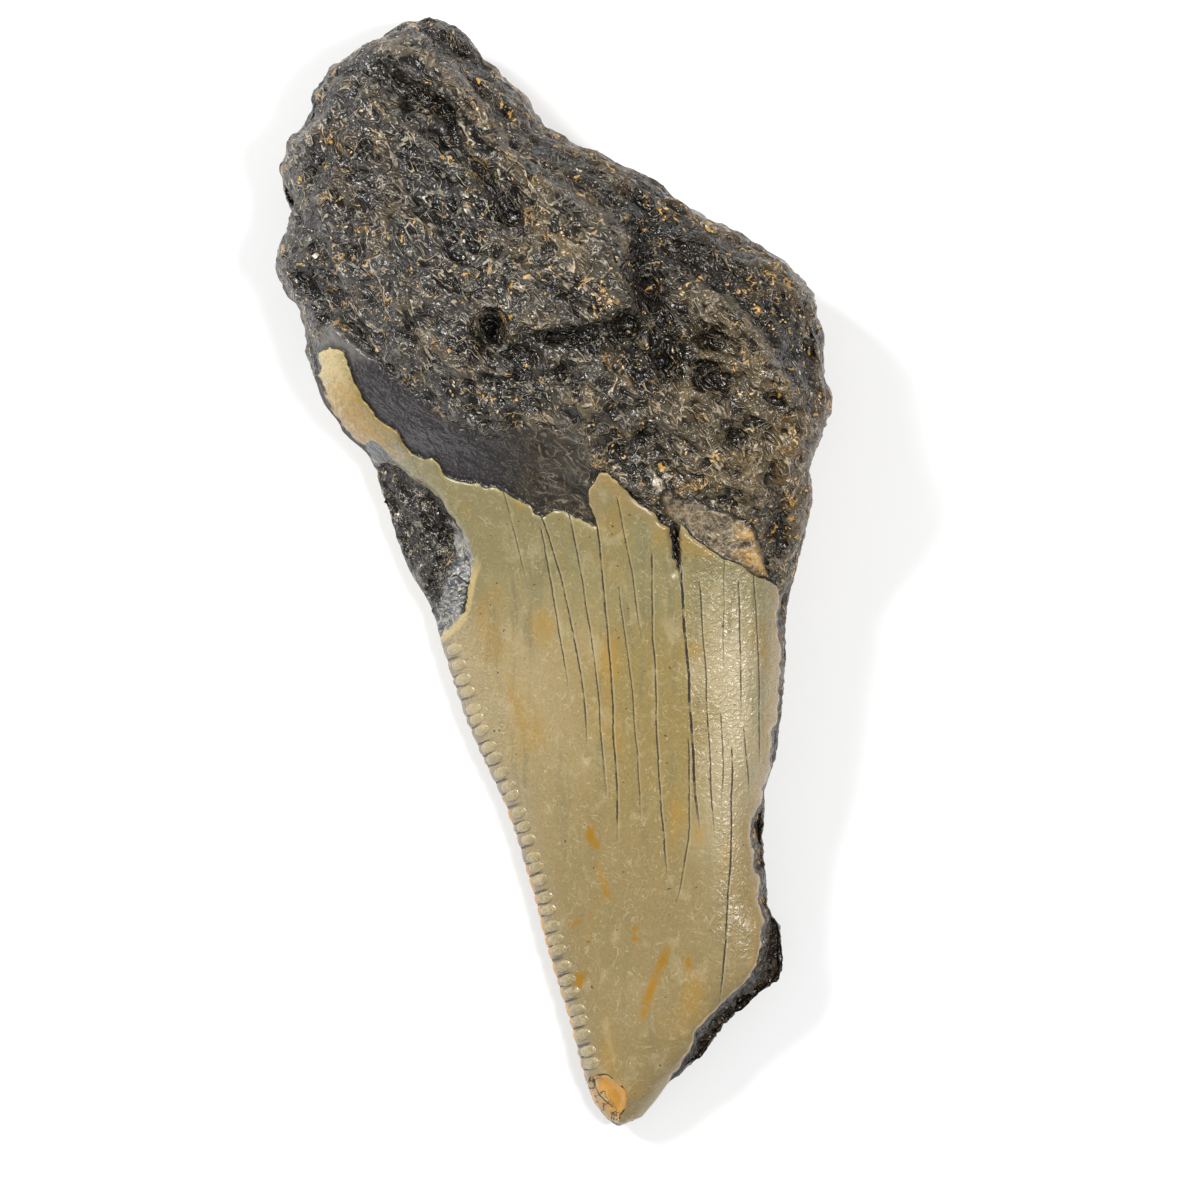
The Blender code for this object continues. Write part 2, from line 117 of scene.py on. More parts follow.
SECTIONS = (
    Section(44.35, 6.2, 6.2, 7.2, 0.50, 2.2, 2.2, 5.0),
    Section(42.5, 6.2, 6.6, 11.5, 0.56, 2.2, 2.2, 1.0),
    Section(38.0, 5.8, 7.0, 14.2, 0.60, 2.5, 2.3, -0.4),
    Section(32.0, 5.8, 7.6, 15.8, 0.62, 2.7, 2.2, -0.3),
    Section(26.0, 6.2, 8.0, 17.8, 0.62, 2.6, 2.2, 0.5),
    Section(20.0, 6.0, 8.0, 19.6, 0.66, 2.3, 2.6, 0.8),
    Section(14.0, 4.8, 7.2, 19.2, 0.70, 2.0, 3.0, 0.3),
    Section(9.0, 3.6, 6.2, 17.2, 0.72, 1.8, 3.0, -0.2),
    Section(4.0, 2.9, 5.0, 14.6, 0.72, 1.7, 3.2, -0.3),
    Section(0.0, 2.6, 4.2, 13.2, 0.72, 1.6, 3.4, -0.3),
    Section(-6.0, 2.3, 3.6, 12.2, 0.72, 1.5, 3.6, -0.3),
    Section(-14.0, 2.1, 3.2, 11.0, 0.72, 1.5, 3.6, -0.3),
    Section(-22.0, 2.0, 3.0, 9.8, 0.70, 1.5, 3.6, -0.2),
    Section(-30.0, 1.9, 2.8, 8.4, 0.62, 1.5, 3.6, -0.1),
    Section(-37.0, 1.8, 2.5, 6.8, 0.55, 1.6, 3.2, 0.2),
    Section(-42.0, 1.9, 2.3, 5.0, 0.50, 1.8, 2.6, 0.8),
    Section(-44.35, 2.3, 2.3, 3.0, 0.50, 2.2, 2.2, 1.6),
)

# The left and right edges seen from above, as (y, x) from the root down to the tip.
LEFT_EDGE: Line = [
    (44.35, -9.8), (43.8, -11.8), (42.9, -13.2), (42.1, -15.1), (40.4, -17.5), (38.4, -19.0),
    (36.2, -19.5), (34.5, -21.1), (32.2, -21.9), (30.5, -21.4), (29.0, -20.8), (27.0, -21.2),
    (24.3, -22.1), (22.2, -21.0), (21.0, -20.1), (18.2, -19.8), (15.8, -19.2), (13.6, -18.3),
    (11.3, -16.8), (9.6, -15.0), (8.2, -14.0), (5.9, -13.4), (3.0, -12.5), (-0.2, -11.1), (-3.5, -9.4),
    (-5.2, -9.0), (-8.6, -8.0), (-11.8, -6.9), (-14.4, -5.8), (-18.3, -3.9), (-21.4, -2.8), (-26.2, -1.4),
    (-30.9, -0.2), (-35.6, 1.3), (-39.9, 2.4), (-42.5, 3.4), (-43.9, 4.5), (-44.35, 5.4),
]
RIGHT_EDGE: Line = [
    (44.35, -9.8), (43.8, -7.7), (43.0, -6.8), (41.9, -5.9), (40.4, -5.0), (38.0, -2.4), (35.5, -0.4),
    (34.2, 1.6), (33.5, 3.6), (31.6, 7.5), (29.5, 10.4), (27.7, 13.4), (26.7, 15.8), (25.0, 18.6),
    (22.4, 20.6), (18.9, 21.5), (15.5, 21.7), (13.0, 22.1), (10.8, 21.6), (8.2, 20.7), (6.4, 20.8),
    (3.0, 20.2), (-2.6, 18.7), (-7.4, 18.6), (-11.7, 18.3), (-15.0, 17.8), (-17.3, 17.0), (-21.1, 16.8),
    (-26.5, 17.2), (-28.3, 18.2), (-31.6, 18.4), (-32.5, 18.1), (-34.4, 15.6), (-36.1, 13.7),
    (-38.7, 11.9), (-40.9, 9.3), (-42.3, 8.3), (-43.6, 7.2), (-44.35, 5.4),
]

# Regions of the upper face seen from above, as (x, y) outlines. Each may run past the tooth's own edge.
ENAMEL: Line = [
    (-18.6, 17.6), (-17.5, 18.1), (-16.6, 17.6), (-15.8, 14.9), (-13.8, 12.3), (-11.8, 10.2), (-9.8, 9.0),
    (-8.2, 7.7), (-5.1, 6.8), (-3.3, 6.4), (-1.7, 5.2), (-0.8, 4.4), (0.2, 4.9), (1.8, 4.6), (3.4, 3.4),
    (3.0, 6.6), (3.8, 7.9), (4.6, 7.8), (6.1, 6.0), (8.2, 4.6), (9.1, 3.8), (9.3, 2.5), (9.8, 0.9),
    (10.1, -0.4), (10.2, 1.2), (10.3, 4.0), (11.5, 2.7), (13.0, 1.4), (15.6, 0.3), (18.0, -1.1), (18.2, -5.4),
    (18.2, -9.1), (17.5, -13.0), (17.4, -15.5), (16.2, -19.4), (15.8, -20.2), (16.2, -22.2),
    (16.9, -28.0), (16.5, -31.2), (15.4, -32.9), (12.2, -35.7), (11.2, -37.6), (10.1, -39.5),
    (9.3, -40.9), (10.6, -42.0), (8.0, -45.5), (1.0, -42.0), (-5.0, -21.0), (-11.0, -6.5),
    (-9.0, -5.2), (-7.0, -3.2), (-6.4, 1.0), (-7.6, 4.0),
    (-9.3, 6.2), (-11.4, 7.9), (-13.0, 8.8), (-14.4, 8.8), (-18.6, 12.2), (-20.0, 14.6), (-18.6, 16.0),
]
SMOOTH_BAND: Line = [
    (-18.6, 19.4), (-17.6, 19.8), (-15.6, 18.2), (-12.8, 16.0), (-10.3, 13.8), (-7.9, 11.8), (-5.1, 10.6),
    (-2.7, 11.5), (-0.3, 11.8), (2.1, 10.6), (3.3, 8.2), (3.7, 3.0), (0.5, 3.4), (-4.3, 5.0), (-9.1, 6.6),
    (-12.3, 9.4), (-15.5, 13.0), (-18.6, 16.8),
]
RIM_LINE: Line = [(18.2, -1.5), *ENAMEL[30:39]]
TONGUE: Line = [
    (9.2, 6.8), (12.2, 5.3), (14.5, 4.6), (16.3, 3.2), (17.4, -0.5), (15.7, -0.2), (11.7, 1.0),
    (8.9, 4.8),
]
SPALL: Line = [
    (-13.0, 8.9), (-11.4, 8.0), (-9.6, 6.5), (-8.4, 4.6), (-7.6, 2.8), (-8.2, 1.2), (-9.3, -0.8),
    (-10.0, -2.2), (-12.5, -2.0), (-16.0, 4.2), (-15.6, 8.0),
]
FRAYED: Line = [
    (-8.0, 4.4), (-6.9, 3.0), (-6.2, 1.0), (-6.8, -1.6), (-7.3, -3.6), (-8.9, -5.0), (-10.0, -4.4),
    (-9.0, -2.4), (-8.4, -0.2), (-7.6, 1.4), (-7.9, 3.0),
]
STRIP: Line = [
    (-18.8, 18.6), (-16.5, 17.8), (-15.4, 14.7), (-13.4, 12.0), (-12.4, 10.8), (-13.4, 9.6), (-15.0, 9.3),
    (-19.0, 12.0), (-21.0, 16.0),
]
TIP_CHIP: Line = [
    (3.2, -40.1), (4.4, -40.2), (5.4, -40.9), (5.9, -41.9), (5.9, -42.9), (5.4, -43.6), (5.1, -45.0),
    (1.0, -43.0), (2.6, -41.0),
]
SHOULDER_CHIP: Line = [
    (-15.4, 10.0), (-14.4, 10.6), (-13.8, 10.3), (-13.0, 9.4), (-12.5, 8.7), (-13.9, 8.5), (-15.2, 8.6),
]

# The root's border above the smooth bevel on its broken side, and the under face's own enamel border.
BEVEL_LINE: Line = [
    (-11.0, 44.0), (-8.3, 40.9), (-5.3, 37.6), (-3.4, 33.8), (-0.3, 31.4), (3.4, 29.0), (10.0, 24.6),
    (15.4, 20.6), (18.0, 16.6),
]
CREST_LINE: Line = [
    (-12.3, 42.0), (-9.9, 41.0), (-6.9, 38.2), (-5.1, 35.6), (-1.8, 31.8), (0.8, 30.4), (5.6, 28.4),
]
BAND_LINE: Line = [
    (-5.0, 10.7), (-8.0, 11.9), (-10.4, 13.9), (-12.9, 16.2), (-15.8, 18.6), (-19.5, 19.9),
]
UNDER_BORDER: Line = [
    (-24.0, 18.2), (-19.0, 17.0), (-13.0, 14.0), (-6.0, 11.2), (2.0, 9.4), (10.0, 8.8), (24.0, 9.2),
]


@dataclass(frozen=True)
class Stain:
    """A stained patch of enamel: its place, half width, half length and lean."""

    x: float
    y: float
    half_width: float
    half_length: float
    lean: float = 0.0


RUST_STAINS = (
    Stain(3.1, -20.9, 0.30, 0.70), Stain(3.5, -21.7, 0.24, 0.50, -0.2), Stain(3.9, -24.2, 0.16, 0.50, -0.3),
    Stain(4.3, -25.4, 0.18, 0.62, -0.2), Stain(6.6, -28.5, 0.22, 0.20), Stain(6.6, -29.2, 0.20, 0.18),
    Stain(8.8, -31.2, 0.30, 1.0, 0.40), Stain(7.9, -33.4, 0.34, 1.3, 0.36), Stain(7.4, -35.0, 0.20, 0.5, 0.3),
    Stain(2.1, -32.6, 0.50, 0.62, 0.2), Stain(1.9, -28.0, 0.26, 0.24, 0.8), Stain(10.9, -31.2, 0.25, 0.40),
)
OCHRE_STAINS = (
    Stain(-15.8, 11.6, 0.9, 1.2, -0.4), Stain(-0.7, -4.3, 0.9, 1.3), Stain(11.4, -6.1, 0.5, 0.4),
    Stain(11.7, -21.0, 0.5, 0.7), Stain(4.6, -7.0, 0.8, 1.8),
)


@dataclass(frozen=True)
class Crease:
    """A furrow or ridge: a line of (x, y) points, its half width, and its height, negative for a furrow."""

    line: Line
    width: float
    height: float


@dataclass(frozen=True)
class Ledge:
    """A step down on the left-hand side of a line of (x, y) points, which comes back over its reach."""

    line: Line
    width: float
    drop: float
    reach: float


@dataclass(frozen=True)
class Pit:
    """A hole in the root: its place, half widths and depth."""

    x: float
    y: float
    rx: float
    ry: float
    depth: float


@dataclass(frozen=True)
class Mound:
    """A low swelling of the root: its place, radius and height."""

    x: float
    y: float
    radius: float
    rise: float


CREASES = (
    Crease(((-13.6, 40.3), (-11.7, 38.7), (-8.8, 37.2), (-7.4, 34.2), (-5.2, 31.2), (-3.2, 28.4)), 0.9, -1.5),
    Crease(((-1.4, 19.0), (1.4, 18.5), (3.7, 19.7), (6.1, 20.0)), 0.7, -0.9),
    Crease(((7.5, 25.8), (6.9, 24.0), (7.7, 21.8), (9.4, 18.2)), 0.8, -0.9),
    Crease(((17.4, 10.6), (17.7, 5.8), (18.1, 1.0)), 0.8, -1.0),
    Crease(((12.0, 18.3), (14.4, 17.7)), 0.7, -0.9),
    Crease(((9.8, 4.6), (9.7, 2.4), (10.2, 0.3)), 0.35, -0.7),
    Crease(CREST_LINE, 1.3, 0.9),
    Crease(((-13.0, 36.4), (-9.8, 34.6), (-6.0, 30.6), (-4.4, 29.0)), 0.9, 0.5),
)
LEDGES = (
    Ledge(BEVEL_LINE, 1.0, 1.7, 4.5),
    Ledge(((6.2, 27.4), (6.0, 24.0), (6.7, 21.5), (7.5, 19.0)), 1.1, 1.1, 4.0),
    Ledge(((15.4, 15.8), (12.0, 16.9), (8.0, 17.6), (3.0, 19.5), (-1.1, 19.0)), 1.1, 0.9, 3.2),
    Ledge(BAND_LINE, 0.6, 0.8, 3.0),
    Ledge(((-18.5, 32.6), (-16.6, 35.4), (-15.0, 38.4), (-16.0, 42.0)), 0.8, 0.9, 2.2),
)
PITS = (
    Pit(-15.8, 25.3, 0.8, 0.8, 1.3), Pit(-17.1, 21.9, 1.1, 0.6, 1.0), Pit(-4.8, 19.5, 1.0, 1.2, 2.6),
    Pit(6.1, 19.4, 1.5, 1.0, 1.5), Pit(9.4, 17.0, 1.0, 1.4, 1.3), Pit(-2.4, 16.0, 0.8, 0.8, 0.9),
    Pit(0.8, 15.7, 0.8, 0.9, 1.1), Pit(14.6, 10.4, 1.5, 0.9, 1.1), Pit(17.8, 13.8, 1.0, 1.0, 1.0),
    Pit(-8.4, 36.9, 1.0, 0.9, 1.3), Pit(-19.0, 37.1, 0.8, 0.8, 1.1), Pit(-20.8, 29.8, 0.7, 0.8, 0.9),
    Pit(7.1, 10.7, 0.7, 0.9, 0.8), Pit(8.2, 22.4, 1.0, 1.5, 1.1), Pit(13.1, 15.4, 1.3, 0.8, 1.0),
    Pit(-2.6, 17.4, 1.6, 0.8, 1.0), Pit(-5.0, 14.8, 1.5, 0.9, 0.8), Pit(11.8, 12.2, 0.8, 1.2, 1.0),
)
MOUNDS = (
    Mound(-10.7, 18.6, 2.4, 0.8), Mound(4.6, 24.0, 3.2, 0.9), Mound(16.0, 19.6, 3.0, 0.8),
    Mound(-13.5, 31.0, 4.5, 0.7), Mound(2.6, 14.0, 2.4, 0.7), Mound(12.4, 13.6, 2.2, 0.7),
    Mound(-20.6, 25.0, 1.6, 0.6), Mound(-20.2, 33.0, 1.8, 0.7),
)

SHAPE_SEED = Vector((3.1, 7.7, 1.9))
CLOSE_SEED = Vector((1.0, 6.0, 3.0))
FINE_SEED = Vector((5.0, 1.0, 2.0))
GRAIN_SEED = Vector((2.0, 9.0, 4.0))
WANDER_SEEDS = (Vector((9.0, 1.0, 4.0)), Vector((2.0, 6.0, 8.0)))
OUTSIDE = -9.0


@dataclass(frozen=True)
class Wave:
    """One scale of rough ground: its wavelength and height."""

    length: float
    height: float


ROOT_LUMPS = (Wave(7.0, 1.5), Wave(3.2, 1.3), Wave(1.6, 0.55))
WALL_LUMPS = (Wave(3.4, 0.6), Wave(1.6, 0.3))
BREAK_LUMPS = (Wave(3.0, 0.22), Wave(1.2, 0.14))
FINE_LUMPS = (Wave(0.9, 0.16),)
BORDER_WANDER = (Wave(1.7, 0.42), Wave(0.7, 0.20))
GRAIN_PATCHES = (Wave(2.6, 1.0),)

# The root's wrinkles are longer along its grain, which runs down to the right.
ROOT_GRAIN_DEGREES = -50.0
ROOT_GRAIN_STRETCH = 1.7

# How far and at what scale a wrinkle winds, and how thin its crest is.
WRINKLE_WARP = 0.7
WRINKLE_WARP_SCALE = 0.6
WRINKLE_SHARPNESS = 3.2

# What the scattered bodies read from the tooth's points.
GRAIN_DENSITY = "grain_density"
SPLINTER_DENSITY = "splinter_density"


@dataclass(frozen=True)
class Crack:
    """A hairline crack, bowed through three points (x, y), with its half width and darkness."""

    top: tuple[float, float]
    middle: tuple[float, float]
    foot: tuple[float, float]
    width: float = 0.05
    strength: float = 0.8


CRACKS = (
    Crack((-4.0, 6.4), (-3.28, 3.52), (-2.08, -1.44), 0.035, 0.55),
    Crack((-1.04, 3.36), (0.0, -2.24), (1.2, -9.76), 0.045, 0.8),
    Crack((-0.96, 4.4), (1.12, -2.88), (2.72, -14.24), 0.05, 0.85),
    Crack((1.12, 4.64), (3.04, -5.84), (4.16, -18.48), 0.045, 0.8),
    Crack((3.36, 3.84), (4.4, -6.0), (5.04, -21.84), 0.055, 0.9),
    Crack((5.04, 5.76), (6.24, -0.24), (7.04, -5.44), 0.04, 0.7),
    Crack((5.2, -1.28), (6.24, -10.08), (6.96, -20.16), 0.04, 0.7),
    Crack((7.84, 1.28), (8.08, -9.84), (9.04, -24.64), 0.05, 0.85),
    Crack((10.08, 0.96), (10.72, -8.64), (11.6, -20.8), 0.08, 1.0),
    Crack((10.72, -13.44), (10.64, -21.44), (9.68, -27.04), 0.045, 0.75),
    Crack((9.68, 3.68), (9.92, 1.6), (10.16, -1.44), 0.15, 1.0),
    Crack((3.28, -40.96), (4.08, -42.32), (5.44, -43.28), 0.06, 0.9),
    Crack((14.24, -14.24), (14.08, -23.04), (13.12, -34.88), 0.055, 0.9),
    Crack((13.36, -11.44), (13.52, -15.52), (13.44, -19.04), 0.04, 0.7),
    Crack((14.8, -0.88), (14.88, -6.24), (14.96, -11.84), 0.045, 0.8),
    Crack((15.92, 0.16), (16.32, -7.04), (16.32, -16.24), 0.04, 0.75),
    Crack((13.6, 0.96), (13.6, -3.44), (13.52, -8.24), 0.03, 0.5),
    Crack((11.6, -0.8), (12.16, -9.44), (12.8, -21.28), 0.045, 0.8),
    Crack((15.2, -12.64), (15.44, -15.52), (15.6, -18.48), 0.04, 0.7),
)


def ramp(low: float, high: float, value: Array) -> Array:
    """A smooth rise from 0 at low to 1 at high; low may be above high, which turns it round."""
    t = np.clip((value - low) / (high - low), 0.0, 1.0)
    return t * t * (3.0 - 2.0 * t)


def along(points: Line, y: Array) -> Array:
    """Reads (y, value) pairs that run from the root to the tip, at each y."""
    table = np.array(points)[::-1]
    return np.interp(y, table[:, 0], table[:, 1])


def step_distances(points: Line, x: Array, y: Array) -> Array:
    """Measures how far places are to the left of an open line.

    Args:
        points: The line's (x, y) points, walked from the first.
        x: Places across the tooth.
        y: Places along the tooth.

    Returns:
        One distance for each place, negative to the right of the line.
    """
    nearest = np.full(x.shape, np.inf)
    signed = np.zeros(x.shape)
    for (ax, ay), (bx, by) in zip(points, points[1:]):
        length = math.hypot(bx - ax, by - ay)
        run = np.clip(((x - ax) * (bx - ax) + (y - ay) * (by - ay)) / length**2, 0, 1)
        away = np.hypot(x - ax - run * (bx - ax), y - ay - run * (by - ay))
        side = ((bx - ax) * (y - ay) - (by - ay) * (x - ax)) / length
        closer = away < nearest
        signed = np.where(closer, np.copysign(away, side), signed)
        nearest = np.minimum(nearest, away)
    return signed


def inside(outline: Line, x: Array, y: Array) -> Array:
    """Measures how far places are inside a closed outline.

    Args:
        outline: The outline's (x, y) corners.
        x: Places across the tooth.
        y: Places along the tooth.

    Returns:
        One distance for each place, negative outside the outline.
    """
    away = np.abs(step_distances([*outline, outline[0]], x, y))
    within = np.zeros(x.shape, bool)
    for (ax, ay), (bx, by) in zip(outline, [*outline[1:], outline[0]]):
        crosses = (ay > y) != (by > y)
        level = np.where(crosses, y, ay)
        within ^= crosses & (x < ax + (level - ay) * (bx - ax) / ((by - ay) or 1.0))
    return np.where(within, away, -away)


def lumps(places: Array, waves: Sequence[Wave], seed: Vector = SHAPE_SEED) -> Array:
    """Makes rough ground.

    Args:
        places: Points in millimetres, one a row.
        waves: The scales of roughness to add up.
        seed: An offset into the noise.

    Returns:
        One height for each place.
    """
    height = np.zeros(len(places))
    for wave in waves:
        height += wave.height * np.array([noise.noise(Vector(p) / wave.length + seed) for p in places])
    return height


def flat(x: Array, y: Array) -> Array:
    """Places on the ground, one a row."""
    return np.column_stack([x, y, 0 * x])


def with_grain(places: Array) -> Array:
    """Turns places to the root's grain and draws them together along it.

    Args:
        places: Points in millimetres, one a row.

    Returns:
        Points at which noise is longer along the grain.
    """
    grain = math.radians(ROOT_GRAIN_DEGREES)
    x, y, z = places.T
    along_grain = x * math.cos(grain) + y * math.sin(grain)
    across_grain = y * math.cos(grain) - x * math.sin(grain)
    return np.column_stack([along_grain / ROOT_GRAIN_STRETCH, across_grain, z])


def wandering(x: Array, y: Array) -> tuple[Array, Array]:
    """Moves places a little this way and that, so that the outlines read there become ragged."""
    across, on = (lumps(flat(x, y), BORDER_WANDER, seed) for seed in WANDER_SEEDS)
    return x + across, y + on


def wrinkles(places: Array, wavelength: float, seed: Vector) -> Array:
    """Makes worm-like creases.

    Args:
        places: Points in millimetres, one a row.
        wavelength: The spacing of the creases.
        seed: An offset into the noise.

    Returns:
        A height from 0 in the valleys to 1 on the crests, for each place.
    """
    height = np.empty(len(places))
    for index, p in enumerate(places):
        at = Vector(p) / wavelength + seed
        at += WRINKLE_WARP * noise.noise_vector(at * WRINKLE_WARP_SCALE)
        height[index] = 1.0 - min(1.0, WRINKLE_SHARPNESS * abs(noise.noise(at)))
    return height


@dataclass
class ToothForm:
    """The tooth's shape: sections between the two edges, with relief on the upper face and the walls."""

    rows_root: int = 250
    rows_crown: int = 230
    around: int = 204
    upper_share: float = 0.72
    profile_samples: int = 420
    under_fullness: float = 2.6
    root_top: float = 44.35
    crown_tip: float = -44.35
    end_zone: float = 0.05
    end_pull: float = 0.45
    serration_pitch: float = 1.16
    serration_notch: float = 0.16
    serration_rise: float = 0.22
    serration_reach: float = 1.4
    serration_lean: float = 0.31
    serrated_from: float = -6.0
    serrated_to: float = -40.5
    enamel_step: float = 0.45
    spall_cut: float = 0.42
    fracture_cut: float = 0.62
    fracture_from_x: float = 9.0
    fracture_from_y: float = -1.8
    tip_chip_depth: float = 0.5
    under_roughness: float = 0.5
    broad_wrinkle: float = 1.9
    broad_height: float = 0.40
    close_wrinkle: float = 0.95
    close_height: float = 0.22

    def rows(self) -> Array:
        """Spaces the rings along the tooth.

        Returns:
            The y of each ring, closer together on the root and at the two ends.
        """
        root = self.root_top * (1 - np.linspace(0, 1, self.rows_root + 1))
        crown = self.crown_tip * np.linspace(0, 1, self.rows_crown + 1)[1:]
        share = (np.concatenate([root, crown]) - self.crown_tip) / (self.root_top - self.crown_tip)
        pull = np.clip(1 - np.minimum(share, 1 - share) / self.end_zone, 0, 1)
        to_tip, to_root = share - pull * share * self.end_pull, share + pull * (1 - share) * self.end_pull
        eased = np.where(share < 0.5, to_tip, to_root)
        eased[0], eased[-1] = 1.0, 0.0
        return self.crown_tip + eased * (self.root_top - self.crown_tip)

    def value(self, name: str, y: Array) -> Array:
        """One of the sections' values, read at each y."""
        return along([(section.y, getattr(section, name)) for section in SECTIONS], y)

    def edges(self, y: Array) -> tuple[Array, Array]:
        """The left and right limits of the tooth at each y."""
        return along(LEFT_EDGE, y), along(RIGHT_EDGE, y)

    def serration_phase(self, y: Array, from_edge: Array | float = 0.0) -> Array:
        """Counts serrations along the cutting edge.

        Args:
            y: Places along the tooth.
            from_edge: How far in from the cutting edge each place is; the grooves run in at a right angle.

        Returns:
            A whole number at each notch and along the groove that runs in from it.
        """
        fine = np.linspace(self.serrated_from, self.serrated_to, 400)
        run = np.concatenate([[0.0], np.cumsum(np.hypot(np.diff(fine), np.diff(along(LEFT_EDGE, fine))))])
        count = run / self.serration_pitch
        uneven = count + 0.14 * np.sin(2.3 * count) + 0.08 * np.sin(5.1 * count)
        return np.interp(self.serration_lean * from_edge - y, -fine, uneven)

    def serrated(self, y: Array) -> Array:
        """1 where the cutting edge is serrated, 0 elsewhere."""
        begun = ramp(self.serrated_from, self.serrated_from - 1.5, y)
        return begun * ramp(self.serrated_to - 0.8, self.serrated_to, y)

    def notches(self, y: Array) -> Array:
        """How deep the serrations' notches cut into the left edge at each y."""
        depth = self.serration_notch * (1 - np.abs(np.sin(math.pi * self.serration_phase(y))))
        return depth * self.serrated(y)

    def profile(self, y: float, across: Array) -> tuple[Array, Array]:
        """Finds the upper and under face heights at one section.

        Args:
            y: The section's place along the tooth.
            across: Shares of the width, 0 at the left edge.

        Returns:
            The heights of the upper face and of the under face.
        """
        names = ("crest_at", "left_full", "right_full", "left_rim", "right_rim", "crest", "keel")
        at, left_full, right_full, left_rim, right_rim, crest, keel = (float(self.value(n, y)) for n in names)
        rim = left_rim + (right_rim - left_rim) * across
        left = (1 - np.clip((at - across) / at, 0, 1) ** left_full) ** (1 / left_full)
        right = (1 - np.clip((across - at) / (1 - at), 0, 1) ** right_full) ** (1 / right_full)
        upper = rim + (crest - rim) * np.where(across < at, left, right)
        belly = (1 - np.abs(2 * across - 1) ** self.under_fullness) ** (1 / self.under_fullness)
        return upper, rim + (keel - rim) * belly

    def ring(self, y: float) -> tuple[Array, Array]:
        """Goes once round a section, over the upper face from left to right and back underneath.

        Args:
            y: The section's place along the tooth.

        Returns:
            The x and the z of its points.
        """
        across = (1 - np.cos(np.linspace(0.0, math.pi, self.profile_samples))) / 2
        low, high = self.edges(y)
        x = low + (high - low) * across
        x += self.notches(y) * np.exp(-(x - low) / self.serration_reach)
        upper, under = self.profile(y, across)
        over = round(self.around * self.upper_share)
        upper_x, upper_z = self.spread(x, upper, over)
        under_x, under_z = self.spread(x[::-1], under[::-1], self.around - over)
        xs = np.concatenate([upper_x[:-1], under_x[:-1]])
        return xs, np.concatenate([upper_z[:-1], under_z[:-1]])

    @staticmethod
    def spread(x: Array, z: Array, count: int) -> tuple[Array, Array]:
        """Spaces points evenly along a line.

        Args:
            x: The x of the line's points.
            z: Their z.
            count: How many equal steps to take.

        Returns:
            The x and the z of count + 1 points.
        """
        run = np.concatenate([[0.0], np.cumsum(np.hypot(np.diff(x), np.diff(z)))])
        wanted = np.linspace(0.0, run[-1], count + 1)
        return np.interp(wanted, run, x), np.interp(wanted, run, z)

    def landforms(self, x: Array, y: Array) -> Array:
        """Adds up the root's creases, ledges, pits and mounds.

        Args:
            x: Places across the tooth.
            y: Places along the tooth.

        Returns:
            One height for each place.
        """
        height = np.zeros(x.shape)
        for crease in CREASES:
            height += crease.height * np.exp(-((step_distances(crease.line, x, y) / crease.width) ** 2))
        for ledge in LEDGES:
            beside = step_distances(ledge.line, x, y)
            step = ramp(-ledge.width / 2, ledge.width / 2, beside)
            height -= ledge.drop * step * np.exp(-((beside / ledge.reach) ** 2))
        for pit in PITS:
            size = np.hypot((x - pit.x) / pit.rx, (y - pit.y) / pit.ry)
            height -= pit.depth * np.exp(-(size**3))
        for mound in MOUNDS:
            height += mound.rise * np.exp(-((x - mound.x) ** 2 + (y - mound.y) ** 2) / mound.radius**2)
        return height

    def above_rim(self, x: Array, y: Array, z: Array) -> Array:
        """Measures how far places stand above the straight line between the two rims.

        Args:
            x: Places across the tooth.
            y: Places along the tooth.
            z: Their heights.

        Returns:
            One height for each place, never below 0.
        """
        low, high = self.edges(y)
        share = np.clip((x - low) / (high - low), 0, 1)
        rim = self.value("left_rim", y) * (1 - share) + self.value("right_rim", y) * share
        return np.maximum(z - rim, 0.0)

    def upper_relief(self, places: Array) -> Array:
        """Measures how far the upper face stands above its plain section.

        Args:
            places: Points of the plain sections in millimetres, one a row.

        Returns:
            One height for each place.
        """
        x, y, z = places.T
        ragged = wandering(x, y)
        enamel = inside(ENAMEL, *ragged)
        smooth = np.maximum(inside(SMOOTH_BAND, x, y), inside(TONGUE, *ragged))
        rough = ramp(0.3, -0.5, np.maximum(smooth, enamel)) * ramp(-7.0, -3.0, y)
        relief = self.enamel_step * ramp(-0.15, 0.2, enamel)
        relief += rough * (self.landforms(x, y) + lumps(with_grain(places), ROOT_LUMPS))
        spall = ramp(-0.5, 0.6, inside(SPALL, *ragged))
        fracture = ramp(0.1, -1.0, enamel) * ramp(self.fracture_from_y + 1.2, self.fracture_from_y - 1.2, y)
        fracture *= ramp(self.fracture_from_x - 1.0, self.fracture_from_x + 1.0, x)
        relief -= self.above_rim(x, y, z) * (self.spall_cut * spall + self.fracture_cut * fracture)
        relief += (spall + fracture) * lumps(places, BREAK_LUMPS)
        relief -= self.tip_chip_depth * ramp(0.0, 0.6, inside(TIP_CHIP, *ragged))
        from_edge = x - self.edges(y)[0]
        rib = np.abs(np.sin(math.pi * self.serration_phase(y, from_edge))) - 2 / math.pi
        near_edge = ramp(self.serration_reach, 0.2, from_edge)
        return relief + self.serration_rise * rib * self.serrated(y) * near_edge

    def side_relief(self, places: Array, facing: Array) -> Array:
        """Measures how far the root's walls and worn under face stand out from their plain section.

        Args:
            places: Points in millimetres, one a row.
            facing: How far up each point faces, -1 for straight down.

        Returns:
            One distance for each place.
        """
        walls = ramp(-0.8, -0.2, facing) * lumps(places, WALL_LUMPS)
        under = ramp(-0.2, -0.8, facing) * self.under_roughness * lumps(with_grain(places), ROOT_LUMPS)
        return ramp(2.0, 12.0, places[:, 1]) * (walls + under)


